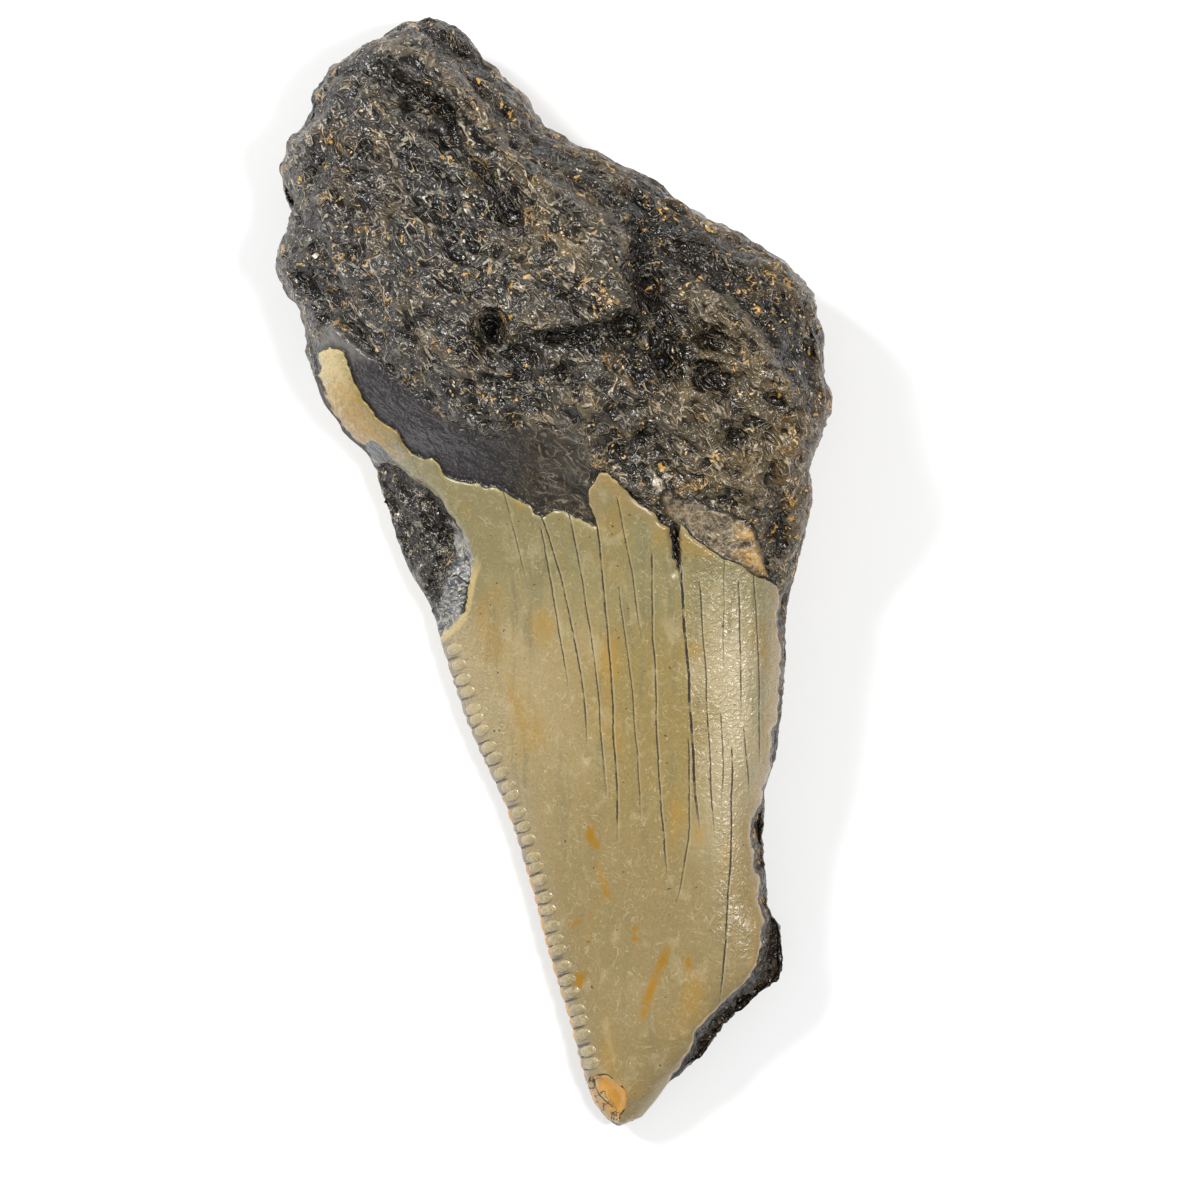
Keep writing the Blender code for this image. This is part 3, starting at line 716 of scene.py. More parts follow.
class Graph:
    """A node tree that grows one node at a time."""

    def __init__(self, tree: bpy.types.NodeTree) -> None:
        """Keeps the tree."""
        self.tree = tree

    def node(self, kind: str, settings: dict | None = None, sockets: dict | None = None) -> bpy.types.Node:
        """Adds any node.

        Args:
            kind: The node's type.
            settings: Its properties, set first.
            sockets: Values or links for its input sockets, by name or number.

        Returns:
            The node.
        """
        made = self.tree.nodes.new(kind)
        for key, value in (settings or {}).items():
            setattr(made, key, value)
        for key, value in (sockets or {}).items():
            self.feed(made.inputs[key], value)
        return made

    def feed(self, socket: Socket, value: object) -> None:
        """Links or sets one input socket.

        Args:
            socket: The socket.
            value: A wire or an output socket to link, or else a plain value.
        """
        if isinstance(value, Wire):
            value = value.socket
        if isinstance(value, Socket):
            self.tree.links.new(value, socket)
        elif isinstance(value, tuple) and socket.type == "RGBA":
            socket.default_value = (*value, 1.0)
        else:
            socket.default_value = value

    def out(self, kind: str, settings: dict | None, sockets: dict, output: str | int = 0) -> Socket:
        """One output of a new node, by name or number."""
        return self.node(kind, settings, sockets).outputs[output]


def arithmetic(operation: str) -> Callable[..., "Wire"]:
    """A method of Wire that adds one Math node on it and the values that are given."""
    return lambda wire, *values: wire.shader.calculate(operation, wire, *values)


class Wire:
    """A number socket in a material, on which arithmetic adds Math nodes; over takes the larger value."""

    def __init__(self, shader: "Shader", socket: Socket) -> None:
        """Keeps the socket, and the shader that it belongs to."""
        self.shader = shader
        self.socket = socket

    __add__ = __radd__ = arithmetic("ADD")
    __sub__ = arithmetic("SUBTRACT")
    __mul__ = __rmul__ = arithmetic("MULTIPLY")
    __truediv__ = arithmetic("DIVIDE")
    __abs__ = arithmetic("ABSOLUTE")
    fraction = arithmetic("FRACT")
    over = arithmetic("MAXIMUM")

    def __rsub__(self, other: float) -> "Wire":
        """other - self."""
        return self.shader.calculate("SUBTRACT", other, self)

    def rise(self, low: float, high: float) -> "Wire":
        """Rises smoothly from 0 to 1.

        Args:
            low: The value that gives 0; it may be above high, which turns the rise round.
            high: The value that gives 1.

        Returns:
            The rise.
        """
        if low > high:
            return 1.0 - self.rise(high, low)
        sockets = {"Value": self, "From Min": low, "From Max": high}
        return self.shader.number("ShaderNodeMapRange", {"interpolation_type": "SMOOTHSTEP"}, sockets)


class Shader(Graph):
    """Builds one material's nodes."""

    def __init__(self, name: str) -> None:
        """Starts the material with its output and shader only, and reads the place in millimetres.

        Args:
            name: The material's name.
        """
        self.material = bpy.data.materials.new(name)
        self.material.use_nodes = True
        super().__init__(self.material.node_tree)
        self.surface = self.tree.nodes["Principled BSDF"]
        self.place = self.vector("SCALE", self.out("ShaderNodeTexCoord", None, {}, "Object"), Scale=1 / MM)
        separate = self.node("ShaderNodeSeparateXYZ", {}, {"Vector": self.place})
        self.x, self.y, self.z = (Wire(self, separate.outputs[axis]) for axis in "XYZ")

    def number(self, kind: str, settings: dict, sockets: dict, output: str | int = 0) -> Wire:
        """A number output of any node."""
        return Wire(self, self.out(kind, settings, sockets, output))

    def calculate(self, operation: str, *values: Wire | float) -> Wire:
        """A Math node on the values."""
        return self.number("ShaderNodeMath", {"operation": operation}, dict(enumerate(values)))

    def vector(self, operation: str, *values: object, **sockets: object) -> Socket:
        """A Vector Math node on the values, and on named sockets such as Scale."""
        inputs = {**dict(enumerate(values)), **sockets}
        return self.out("ShaderNodeVectorMath", {"operation": operation}, inputs)

    def turned(self, degrees: float) -> Socket:
        """The place, turned so that its x runs at an angle over the tooth."""
        sockets = {"Vector": self.place, "Angle": -math.radians(degrees)}
        return self.out("ShaderNodeVectorRotate", {"rotation_type": "Z_AXIS"}, sockets)

    def region(self, region: Region) -> Wire:
        """A region's value from the tooth's points, in millimetres for a distance."""
        return self.number("ShaderNodeAttribute", {"attribute_name": region.value}, {}, "Fac")

    def noise(
        self,
        wavelength: float,
        detail: float = 2.0,
        distortion: float = 0.0,
        stretch: Colour = (1.0, 1.0, 1.0),
        offset: Colour = (0.0, 0.0, 0.0),
        turn: float = 0.0,
    ) -> Wire:
        """Noise of a wavelength in millimetres.

        Args:
            wavelength: The size of its largest features.
            detail: How many finer scales it adds.
            distortion: How much it is warped.
            stretch: Factors along x, y and z; a small one makes features long that way.
            offset: A shift that gives another pattern.
            turn: The direction of x, in degrees.

        Returns:
            The noise, about 0 to 1.
        """
        at = self.vector("MULTIPLY_ADD", self.turned(turn) if turn else self.place, stretch, offset)
        sockets = {"Vector": at, "Scale": 1 / wavelength, "Detail": detail, "Distortion": distortion}
        return self.number("ShaderNodeTexNoise", {}, sockets, "Fac")

    def winding(self, wavelength: float, offset: Colour, stretch: Colour, turn: float) -> Wire:
        """How far each place is from the winding lines that lines describes, in the noise's own units."""
        return abs(self.noise(wavelength, 2.0, 0.5, stretch, offset, turn) - 0.5)

    def lines(
        self,
        wavelength: float,
        width: float,
        offset: Colour = (0.0, 0.0, 0.0),
        stretch: Colour = (1.0, 1.0, 1.0),
        turn: float = 0.0,
    ) -> Wire:
        """Winding lines.

        Args:
            wavelength: Their spacing in millimetres.
            width: Their half width, in the noise's own units.
            offset: A shift that gives another pattern.
            stretch: Factors along x, y and z; a small one makes the lines long that way.
            turn: The direction of x, in degrees.

        Returns:
            1 on the lines, 0 away from them.
        """
        return self.winding(wavelength, offset, stretch, turn).rise(width, 0.0)

    def mix(self, share: Wire | float, low: Paint, high: Paint, blend: str = "MIX") -> Socket:
        """A blend of two colours: low where share is 0, high where it is 1."""
        settings = {"data_type": "RGBA", "blend_type": blend, "clamp_factor": True}
        return self.out("ShaderNodeMix", settings, {"Factor": share, 6: low, 7: high}, 2)

    def layers(self, colour: Paint, *tints: tuple[Wire | float, Paint]) -> Paint:
        """Lays tints over a colour, one after another.

        Args:
            colour: The colour underneath.
            tints: For each tint, how much of it shows, and the tint.

        Returns:
            The colour that shows.
        """
        for share, tint in tints:
            colour = self.mix(share, colour, tint)
        return colour

    def tone(self, colour: Paint, factor: Wire) -> Socket:
        """A colour made darker or lighter by a factor."""
        grey = self.out("ShaderNodeCombineColor", {}, {0: factor, 1: factor, 2: factor})
        return self.mix(1.0, colour, grey, "MULTIPLY")

    def bump(self, height: Wire, distance: float) -> Socket:
        """A Bump node's normal for a height from 0 to 1 and its depth in millimetres."""
        return self.out("ShaderNodeBump", {}, {"Height": height, "Distance": distance * MM})

    def finish(self, colour: Paint, roughness: Wire | float, normal: Socket | None = None) -> Material:
        """Feeds the Principled shader.

        Args:
            colour: The base colour.
            roughness: The roughness.
            normal: The normal, if bumped.

        Returns:
            The material.
        """
        self.feed(self.surface.inputs["Base Color"], colour)
        self.feed(self.surface.inputs["Roughness"], roughness)
        if normal is not None:
            self.feed(self.surface.inputs["Normal"], normal)
        return self.material


def quadratic(crack: Crack) -> tuple[float, ...]:
    """The coefficients of x = a y^2 + b y + c through a crack's three points."""
    xs, ys = zip(crack.top, crack.middle, crack.foot)
    return tuple(float(value) for value in np.polyfit(ys, xs, 2))


@dataclass(frozen=True)
class EnamelFinish:
    """Olive-tan enamel: lengthwise streaks, mottling, fine scratches, hairline cracks and rust stains."""

    middle: Colour = (0.205, 0.150, 0.052)
    left: Colour = (0.280, 0.214, 0.105)
    top: Colour = (0.190, 0.160, 0.072)
    low: Colour = (0.210, 0.155, 0.065)
    right: Colour = (0.335, 0.277, 0.160)
    green: Colour = (0.130, 0.118, 0.060)
    ochre: Colour = (0.280, 0.165, 0.030)
    pale: Colour = (0.400, 0.335, 0.200)
    rust: Colour = (0.250, 0.120, 0.000)
    crack: Colour = (0.006, 0.004, 0.003)
    strip: Colour = (0.310, 0.175, 0.015)
    cream: Colour = (0.440, 0.340, 0.150)
    rim: Colour = (0.260, 0.175, 0.070)
    steel: Colour = (0.085, 0.090, 0.080)
    chip: Colour = (0.040, 0.045, 0.048)
    tip: Colour = (0.420, 0.205, 0.028)
    crack_sway: float = 0.40
    crack_jitter: float = 0.10

    def streaks(self, shader: Shader) -> Wire:
        """Lengthwise streaks, about 0 to 1."""
        broad = shader.noise(2.0, 3.0, 0.3, (1.0, 0.12, 0.3))
        return 0.65 * broad + 0.35 * shader.noise(0.5, 2.0, 0.2, (1.0, 0.08, 0.5), (9.0, 2.0, 4.0))

    def colour(self, shader: Shader) -> Paint:
        """Colours the enamel before cracks and stains.

        Args:
            shader: The material being built.

        Returns:
            The colour.
        """
        wander = 6.0 * (shader.noise(5.0, 3.0, 0.4, offset=(3.0, 8.0, 1.0)) - 0.5)
        x, y = shader.x + wander, shader.y + wander
        above = 0.35 + 0.65 * shader.y.rise(-26.0, -8.0)
        warm = shader.noise(4.2, 3.0, 0.5, (1.0, 0.45, 1.0), (5.0, 1.0, 7.0))
        mottle = shader.noise(1.6, 4.0, 0.6, (1.0, 0.6, 1.0), (1.0, 5.0, 2.0))
        bare = shader.noise(1.6, offset=(4.0, 4.0, 4.0))
        scratches = shader.lines(0.9, 0.022, (2.0, 8.0, 5.0), (0.5, 1.0, 1.0), 62.0) * bare.rise(0.46, 0.60)
        scuffs = shader.lines(0.7, 0.025, (7.0, 1.0, 5.0), (0.5, 1.0, 1.0), -25.0) * bare.rise(0.50, 0.40)
        colour = shader.layers(
            self.middle,
            # Lighter towards the left and the right, partly the enamel's own tone and partly painted sheen
            # where its flanks catch the light.
            (x.rise(7.0, -3.0), self.left),
            (x.rise(10.0, 14.0), self.right),
            (y.rise(-7.0, 1.0), self.top),
            (y.rise(-10.0, -30.0), self.low),
            (self.streaks(shader).rise(0.50, 0.64) * above * 0.55, self.green),
            (warm.rise(0.52, 0.70) * 0.60, self.ochre),
            (mottle.rise(0.54, 0.72) * 0.30, self.pale),
            (scratches.over(scuffs) * 0.42, self.pale),
            # Small cream specks, painted as glints.
            (shader.noise(0.30, 1.0, offset=(7.0, 2.0, 7.0)).rise(0.73, 0.78) * 0.6, self.cream),
            (shader.noise(0.42, 1.0, offset=(1.0, 7.0, 3.0)).rise(0.26, 0.21) * 0.7, self.crack),
        )
        return shader.tone(colour, 0.74 + 0.52 * shader.noise(0.20, 2.0, offset=(7.0, 7.0, 7.0)))

    def crack_lines(self, shader: Shader) -> tuple[Wire, Wire]:
        """Draws the hairline cracks.

        Args:
            shader: The material being built.

        Returns:
            The darkness of the cracks, and a thin line beside each, painted as a highlight on its lip.
        """
        sway = shader.noise(5.0, 1.0, offset=(4.0, 4.0, 0.0)) - 0.5
        jitter = shader.noise(0.5, 2.0, offset=(1.0, 4.0, 2.0)) - 0.5
        x = shader.x + self.crack_sway * sway + self.crack_jitter * jitter
        beads = 0.35 + 1.3 * shader.noise(0.42, 1.0, offset=(0.0, 3.0, 9.0))
        broken = shader.noise(1.1, 2.0, offset=(3.0, 0.0, 5.0)).rise(0.30, 0.48)
        darks, lip_highlights = [], []
        for crack in CRACKS:
            a, b, c = quadratic(crack)
            away = x - ((shader.y * a + b) * shader.y + c)
            top, foot = crack.top[1], crack.foot[1]
            fade = min(3.0, 0.4 * (top - foot))
            window = shader.y.rise(foot - 0.2 * fade, foot + fade) * shader.y.rise(top + 0.3, top - 0.1)
            narrowed = abs(away) / (beads * (0.4 + 0.6 * window))
            darks.append(narrowed.rise(crack.width * 1.5, crack.width * 0.5) * window * crack.strength)
            # A thin line 0.12 mm beside each crack, painted as the highlight on its lip.
            lip_highlights.append(abs(away - 0.12).rise(0.10, 0.03) * window * crack.strength)
        return reduce(Wire.over, darks) * (0.35 + 0.65 * broken), reduce(Wire.over, lip_highlights)


@dataclass(frozen=True)
class Strokes:
    """One set of the root's short raised threads: spacing, half width, direction and the pattern's shift."""

    wavelength: float
    width: float
    turn: float
    offset: Colour
    strength: float = 1.0
    stretch: float = 0.42


STROKES = (
    Strokes(1.5, 0.018, -60.0, (0.0, 0.0, 0.0)),
    Strokes(0.9, 0.026, -38.0, (5.0, 1.0, 3.0), 0.70),
    Strokes(1.2, 0.018, 34.0, (2.0, 7.0, 3.0), 0.70),
)


@dataclass(frozen=True)
class RootFinish:
    """Charcoal to brown mineralised root: raised threads with painted highlights on their crests, painted
    shade in its hollows and creases, and gold specks, partly mineral and partly painted glints.
    """

    left: Colour = (0.034, 0.032, 0.029)
    middle: Colour = (0.044, 0.038, 0.028)
    right: Colour = (0.086, 0.063, 0.033)
    tan: Colour = (0.160, 0.110, 0.050)
    umber: Colour = (0.075, 0.043, 0.012)
    bevel: Colour = (0.024, 0.018, 0.010)
    # Near-black painted shade: in hollows, in the wrinkles' furrows, in fine creases and pits, in the frayed
    # zone's fold, and along the borders of the enamel and the tongue.
    painted_shade: Colour = (0.003, 0.002, 0.001)
    # Pale tan painted as highlights on the threads' crests and as small glints; it also draws the tongue's
    # and the spall's pale threads.
    crest: Colour = (0.500, 0.430, 0.310)
    gold: Colour = (0.500, 0.270, 0.055)
    band: Colour = (0.024, 0.020, 0.022)
    band_brown: Colour = (0.025, 0.019, 0.010)
    band_pale: Colour = (0.190, 0.175, 0.155)
    tongue: Colour = (0.110, 0.078, 0.042)
    spall: Colour = (0.014, 0.012, 0.010)
    frayed: Colour = (0.480, 0.460, 0.410)
    slate: Colour = (0.055, 0.060, 0.066)
    fracture: Colour = (0.018, 0.012, 0.007)

    def threads(self, shader: Shader) -> tuple[Wire, Wire]:
        """Draws the root's short threads.

        Args:
            shader: The material being built.

        Returns:
            The threads' crest lines, which the colour paints as highlights, and the broader ridges under
            them, both 1 on a thread.
        """
        crests, ridges = [], []
        for strokes in STROKES:
            stretch = (strokes.stretch, 1.0, 1.0)
            away = shader.winding(strokes.wavelength, strokes.offset, stretch, strokes.turn)
            ends = shader.noise(strokes.wavelength, 1.0, offset=(*strokes.offset[:2], 9.0)).rise(0.46, 0.57)
            crests.append(away.rise(strokes.width, 0.3 * strokes.width) * ends * strokes.strength)
            ridges.append(away.rise(5.5 * strokes.width, 0.0) * (0.35 + 0.65 * ends) * strokes.strength)
        return reduce(Wire.over, crests), reduce(Wire.over, ridges)

    def texture(self, shader: Shader) -> Wire:
        """The root's fine relief, about 0 to 1."""
        return 0.72 * self.threads(shader)[1] + 0.28 * shader.noise(0.45, 2.0, offset=(2.0, 6.0, 1.0))

    def colour(self, shader: Shader, relief: Wire) -> Paint:
        """Colours the rough root, with painted shade in its hollows, furrows and creases and painted
        highlights on its crests and high forms.

        Args:
            shader: The material being built.
            relief: The root's fine relief.

        Returns:
            The colour.
        """
        x = shader.x + 8.0 * (shader.noise(7.0, 3.0, offset=(2.0, 2.0, 5.0)) - 0.5)
        patch = shader.noise(3.2, 3.0, 0.5, (0.6, 1.0, 1.0), (4.0, 1.0, 6.0), ROOT_GRAIN_DEGREES)
        bevel = shader.region(Region.BEVEL).rise(-0.5, 1.5)
        near = shader.noise(5.0, 2.0, offset=(1.0, 9.0, 2.0))
        outer = (shader.region(Region.FAR_EDGE) + 5.0 * (near - 0.5)).rise(5.0, 1.0)
        crest = shader.region(Region.CREST)
        hollow = shader.region(Region.HOLLOW) + 0.5 * (crest - 0.5)
        deep = hollow.rise(-0.45, -1.7)
        patchy = shader.noise(2.6, 2.0, offset=(8.0, 3.0, 1.0))
        # Fewer painted highlights in the deep hollows and on the bevel.
        calm = 1.0 - 0.7 * deep.over(0.7 * bevel)
        # Painted highlights along the threads' crests, in patches.
        shown = self.threads(shader)[0] * (0.20 + 0.50 * patchy.rise(0.36, 0.60)) * calm
        specks = shader.noise(0.7, 2.0, 0.8, offset=(6.0, 6.0, 2.0)) + 0.30 * (near - 0.5) + 0.05 * outer
        return shader.layers(
            self.left,
            (x.rise(-12.0, 2.0), self.middle),
            (x.rise(3.0, 16.0), self.right),
            (patch.rise(0.50, 0.68) * (0.30 + 0.50 * shader.x.rise(-8.0, 12.0)), self.tan),
            (bevel * 0.50, self.bevel),
            (outer * 0.65, self.umber),
            # Painted highlight on the high forms.
            (hollow.rise(0.5, 1.4) * 0.45, self.tan),
            # Painted shade in the deep hollows.
            (deep * 0.88, self.painted_shade),
            # Painted shade in the wrinkles' furrows.
            ((0.45 * relief + 0.55 * crest).rise(0.40, 0.20) * 0.90, self.painted_shade),
            # Thin painted shade in fine creases.
            (shader.lines(2.4, 0.016, (3.0, 3.0, 8.0), (0.6, 1.0, 1.0), 15.0) * 0.9, self.painted_shade),
            # The threads' painted highlights, pale or gold.
            (shown, shader.mix(patchy.rise(0.56, 0.66) * 0.8, self.crest, self.gold)),
            # Small pale glints, painted.
            (shader.noise(0.26, 1.0, offset=(5.0, 5.0, 9.0)).rise(0.70, 0.76) * 0.7, self.crest),
            # Gold specks, partly mineral flecks and partly painted glints.
            (specks.rise(0.685, 0.72) * 0.9, self.gold),
        )

    def band_colour(self, shader: Shader, cloud: Wire) -> Paint:
        """Colours the smooth band between root and crown: slate, browner to the right, finely stippled.

        Args:
            shader: The material being built.
            cloud: Soft noise shared by the finishes.

        Returns:
            The colour.
        """
        grain = shader.noise(0.6, 3.0, 0.2, (0.55, 1.2, 1.0), (2.0, 5.0, 5.0), -42.0)
        stipple = shader.noise(0.17, 1.0, offset=(5.0, 5.0, 5.0)).rise(0.58, 0.70)
        band = shader.layers(
            self.band,
            ((shader.x + 3.0 * cloud).rise(-5.0, 0.5), self.band_brown),
            (stipple * 0.42, self.band_pale),
            ((shader.y + 2.0 * cloud).rise(17.0, 19.4) * 0.65, self.band_pale),
        )
        return shader.tone(band, 0.15 + 0.45 * cloud + 0.85 * grain)

    def tongue_colour(self, shader: Shader, cloud: Wire) -> Paint:
        """Colours the smooth lobe above the crown's right side: brown, with curling threads, painted shade in
        its pits, and a gold end.

        Args:
            shader: The material being built.
            cloud: Soft noise shared by the finishes.

        Returns:
            The colour.
        """
        large, small = shader.lines(0.9, 0.045, (1.0, 4.0, 4.0)), shader.lines(0.45, 0.07, (3.0, 4.0, 1.0))
        lobe = shader.mix((shader.x + 3.0 * cloud).rise(15.4, 17.4) * 0.55, self.tongue, self.gold)
        pits = shader.noise(0.8, 2.0, offset=(6.0, 1.0, 6.0)).rise(0.42, 0.30)
        return shader.layers(
            shader.tone(lobe, (3.4 * cloud - 0.7).over(0.1)),
            (large.over(small * 0.6) * 0.45, self.crest),
            # Painted shade in small pits.
            (pits * 0.8, self.painted_shade),
        )

    def spall_colour(self, shader: Shader, cloud: Wire, relief: Wire) -> Paint:
        """Colours the scooped break on the left: black, darker in its relief's hollows and lighter on its
        ridges as painted shade and highlight, with thin white swirls, white specks painted as glints, and
        gold at its top.

        Args:
            shader: The material being built.
            cloud: Soft noise shared by the finishes.
            relief: The root's fine relief.

        Returns:
            The colour.
        """
        large, small = shader.lines(0.8, 0.030, (6.0, 2.0, 2.0)), shader.lines(0.5, 0.04, (1.0, 2.0, 6.0))
        thread = shader.mix(shader.y.rise(6.0, 8.5) * 0.7, self.crest, self.gold)
        return shader.layers(
            # Darker in the relief's hollows and lighter on its ridges: painted shade and highlight.
            shader.tone(self.spall, 0.2 + 1.8 * relief),
            (large.over(small * 0.6) * cloud.rise(0.45, 0.60) * 0.8, thread),
            # White specks, painted as glints.
            (shader.noise(0.30, 1.0, offset=(2.0, 9.0, 4.0)).rise(0.70, 0.74) * 0.9, self.crest),
        )

    def frayed_colour(self, shader: Shader) -> Paint:
        """Colours the torn enamel beside the spall: pale fibres over slate, with painted shade in a fold
        across.

        Args:
            shader: The material being built.

        Returns:
            The colour.
        """
        fibres = shader.lines(0.8, 0.07, (6.0, 3.0, 2.0), (0.22, 1.0, 1.0), 22.0)
        haze = shader.noise(1.2, 3.0, 0.5, (0.5, 1.0, 1.0), (2.0, 3.0, 7.0), 22.0)
        upper_lobe = shader.y.rise(-0.6, 0.2)
        fold = abs(shader.y + 0.35 + 0.7 * (shader.x + 7.7).over(0.0) + 0.4 * (haze - 0.5)).rise(0.16, 0.04)
        return shader.layers(
            self.slate,
            (haze.rise(0.35, 0.65) * (0.35 + 0.45 * upper_lobe), self.frayed),
            (fibres * (0.75 - 0.45 * upper_lobe), self.frayed),
            # Painted shade in the fold.
            (fold * 0.95, self.painted_shade),
        )


@dataclass(frozen=True)
class Border:
    """How one region's border is drawn: how far noise moves it, and over what distances it fades in."""

    ragged: float
    low: float
    high: float


BORDERS = {
    Region.ENAMEL: Border(0.6, -0.04, 0.04),
    Region.BAND: Border(1.2, -0.5, 0.5),
    Region.TONGUE: Border(0.8, -0.12, 0.12),
    Region.SPALL: Border(0.7, -0.06, 0.10),
    Region.FRAYED: Border(1.8, -0.15, 0.25),
    Region.STRIP: Border(2.4, -0.6, 0.6),
    Region.SHOULDER_CHIP: Border(0.3, -0.05, 0.05),
    Region.TIP_CHIP: Border(0.5, -0.06, 0.06),
    Region.STAIN: Border(1.0, -0.30, 0.26),
    Region.OCHRE: Border(1.4, -0.6, 0.6),
}


@dataclass(frozen=True)
class ToothFinish:
    """The whole tooth's material: the enamel's and root's finishes, mixed by the regions on its points."""

    enamel: EnamelFinish = EnamelFinish()
    root: RootFinish = RootFinish()
    enamel_roughness: float = 0.33
    root_roughness: float = 0.25
    relief_depth: float = 0.42

    def masks(self, shader: Shader) -> dict[Region, Wire]:
        """Finds how much of each region's finish shows.

        Args:
            shader: The material being built.

        Returns:
            A share from 0 to 1 for each region.
        """
        ragged = 0.5 * (shader.noise(0.9, 3.0, offset=(8.0, 1.0, 1.0)) - 0.5)
        return {
            region: (shader.region(region) + ragged * border.ragged).rise(border.low, border.high)
            for region, border in BORDERS.items()
        }

    def root_colour(self, shader: Shader, masks: dict[Region, Wire], relief: Wire, cloud: Wire) -> Paint:
        """Colours everything but the enamel.

        Args:
            shader: The material being built.
            masks: How much of each region's finish shows.
            relief: The root's fine relief.
            cloud: Soft noise shared by the finishes.

        Returns:
            The colour.
        """
        root, enamel = self.root, shader.region(Region.ENAMEL)
        rough = root.colour(shader, relief)
        below = enamel.rise(0.05, -0.15) * shader.y.rise(-0.5, -2.5)
        beads = shader.region(Region.RIM).rise(-0.55, -0.25) * shader.noise(0.55, 1.0).rise(0.52, 0.60)
        return shader.layers(
            rough,
            (masks[Region.BAND] * (1.0 - 0.55 * shader.x.rise(-5.0, 2.0)), root.band_colour(shader, cloud)),
            (masks[Region.TONGUE] * 0.9, root.tongue_colour(shader, cloud)),
            # Painted shade along the tongue's border.
            (abs(shader.region(Region.TONGUE)).rise(0.35, 0.05) * 0.85, root.painted_shade),
            (masks[Region.SPALL], root.spall_colour(shader, cloud, relief)),
            # The fracture below the enamel, darker in its relief's hollows and lighter on its ridges as
            # painted shade and highlight.
            (
                below * (1.0 - masks[Region.SPALL]) * (1.0 - masks[Region.FRAYED]),
                shader.mix(0.14, shader.tone(root.fracture, 0.15 + 1.8 * relief), rough),
            ),
            (beads * below * 0.8, root.gold),
            # Painted shade at the foot of the enamel's step.
            (enamel.rise(-0.50, -0.05) * 0.8, root.painted_shade),
        )

    def grooves(self, shader: Shader) -> Wire:
        """Finds the narrow gaps between the serrations, where the enamel's colour paints shade.

        Args:
            shader: The material being built.

        Returns:
            1 in a slit, 0 away from it.
        """
        between = abs(shader.region(Region.SERRATION).fraction() - 0.5).rise(0.40, 0.49)
        reach = (shader.region(Region.EDGE) + 1.2 * (shader.noise(1.3, 1.0) - 0.5)).rise(1.6, 0.7)
        return between * reach * shader.y.rise(-5.0, -7.0) * shader.y.rise(-41.5, -40.0)

    def enamel_colour(self, shader: Shader, masks: dict[Region, Wire], cloud: Wire) -> tuple[Paint, Wire]:
        """Colours the crown.

        Args:
            shader: The material being built.
            masks: How much of each region's finish shows.
            cloud: Soft noise shared by the finishes.

        Returns:
            The colour, and the darkness of its cracks, of its flakes, and of the painted shade in the
            serrations' grooves and on the strip's side face.
        """
        enamel, y = self.enamel, shader.y
        upper, edge, border = (shader.region(r) for r in (Region.UPPER, Region.EDGE, Region.ENAMEL))
        dark, pale = enamel.crack_lines(shader)
        facet_highlights = shader.noise(1.3, 1.0, 0.4, (1.0, 2.0, 1.0), (3.0, 5.0, 5.0), 35.0).rise(0.50, 0.60)
        strip = shader.layers(
            enamel.strip,
            ((y + 3.0 * cloud).rise(14.5, 18.0), enamel.cream),
            # Painted highlights on the strip's faceted ridges.
            (facet_highlights * edge.rise(2.4, 0.8) * 0.7, enamel.cream),
            ((edge + cloud).rise(2.4, 3.8) * 0.60, enamel.top),
        )
        rim = (shader.region(Region.RIM) + 0.4 * (cloud - 0.5)).rise(-1.0, -0.5) * upper
        chip = shader.tone(enamel.chip, 0.1 + cloud + (edge + cloud).rise(1.0, 3.0))
        crumbly = (edge - cloud).rise(1.3, 0.4) * masks[Region.TIP_CHIP]
        crumbs = shader.noise(0.8, 1.0, 0.6, offset=(3.0, 6.0, 9.0)).rise(0.50, 0.57) * crumbly
        tip = shader.mix(crumbs * 0.55, shader.tone(enamel.tip, 0.6 + 0.8 * cloud), enamel.cream)
        flakes = abs(shader.region(Region.TIP_CHIP)).rise(0.10, 0.02) * cloud.rise(0.50, 0.58)
        flakes = flakes.over(shader.lines(0.9, 0.040, (4.0, 4.0, 9.0)) * crumbly)
        golden = shader.noise(2.6, 1.0, offset=(2.0, 0.0, 0.0)).rise(0.40, 0.55) * y.rise(-12.0, -22.0)
        fringe = border.rise(1.4, 0.2) * shader.x.rise(2.4, 3.6) * shader.x.rise(10.4, 9.0)
        torn = (abs(shader.region(Region.FRAYED) + 0.25) + 0.5 * (cloud - 0.5)).rise(0.45, 0.15)
        # Painted shade in the serrations' grooves.
        slit_shade = self.grooves(shader) * (0.25 + 0.35 * upper)
        # Painted shade on the strip's side face at the left edge.
        wall_shade = (edge + 1.5 * cloud).rise(1.35, 1.10) * y.rise(8.5, 9.5)
        # The cracks, the chip's flakes and the painted shade, all drawn in the crack colour.
        lines = (dark * upper * (1.0 - rim)).over(slit_shade).over(flakes * 0.9).over(wall_shade)
        colour = shader.layers(
            enamel.colour(shader),
            (masks[Region.STRIP], strip),
            (masks[Region.OCHRE] * 0.55, enamel.ochre),
            (rim * 0.65, shader.tone(enamel.rim, 0.5 + cloud)),
            (masks[Region.STAIN] * 0.95, enamel.rust),
            (masks[Region.SHOULDER_CHIP], chip),
            (masks[Region.TIP_CHIP], tip),
            ((edge + 0.5 * cloud).rise(1.5, 0.3) * y.rise(-4.0, -7.0) * 0.40, enamel.steel),
            (edge.rise(0.42, 0.15) * golden * upper, enamel.tip),
            (fringe * y.rise(2.0, 4.5) * (0.3 + cloud) * 0.75, enamel.rim),
            (torn * y.rise(1.5, -0.5) * 0.8, enamel.cream),
            # Painted highlights on the cracks' lips.
            (pale * upper * 0.35, enamel.pale),
            (border.rise(0.22, 0.02) * upper * cloud.rise(0.45, 0.60) * 0.7, enamel.cream),
            (lines, enamel.crack),
        )
        return colour, lines

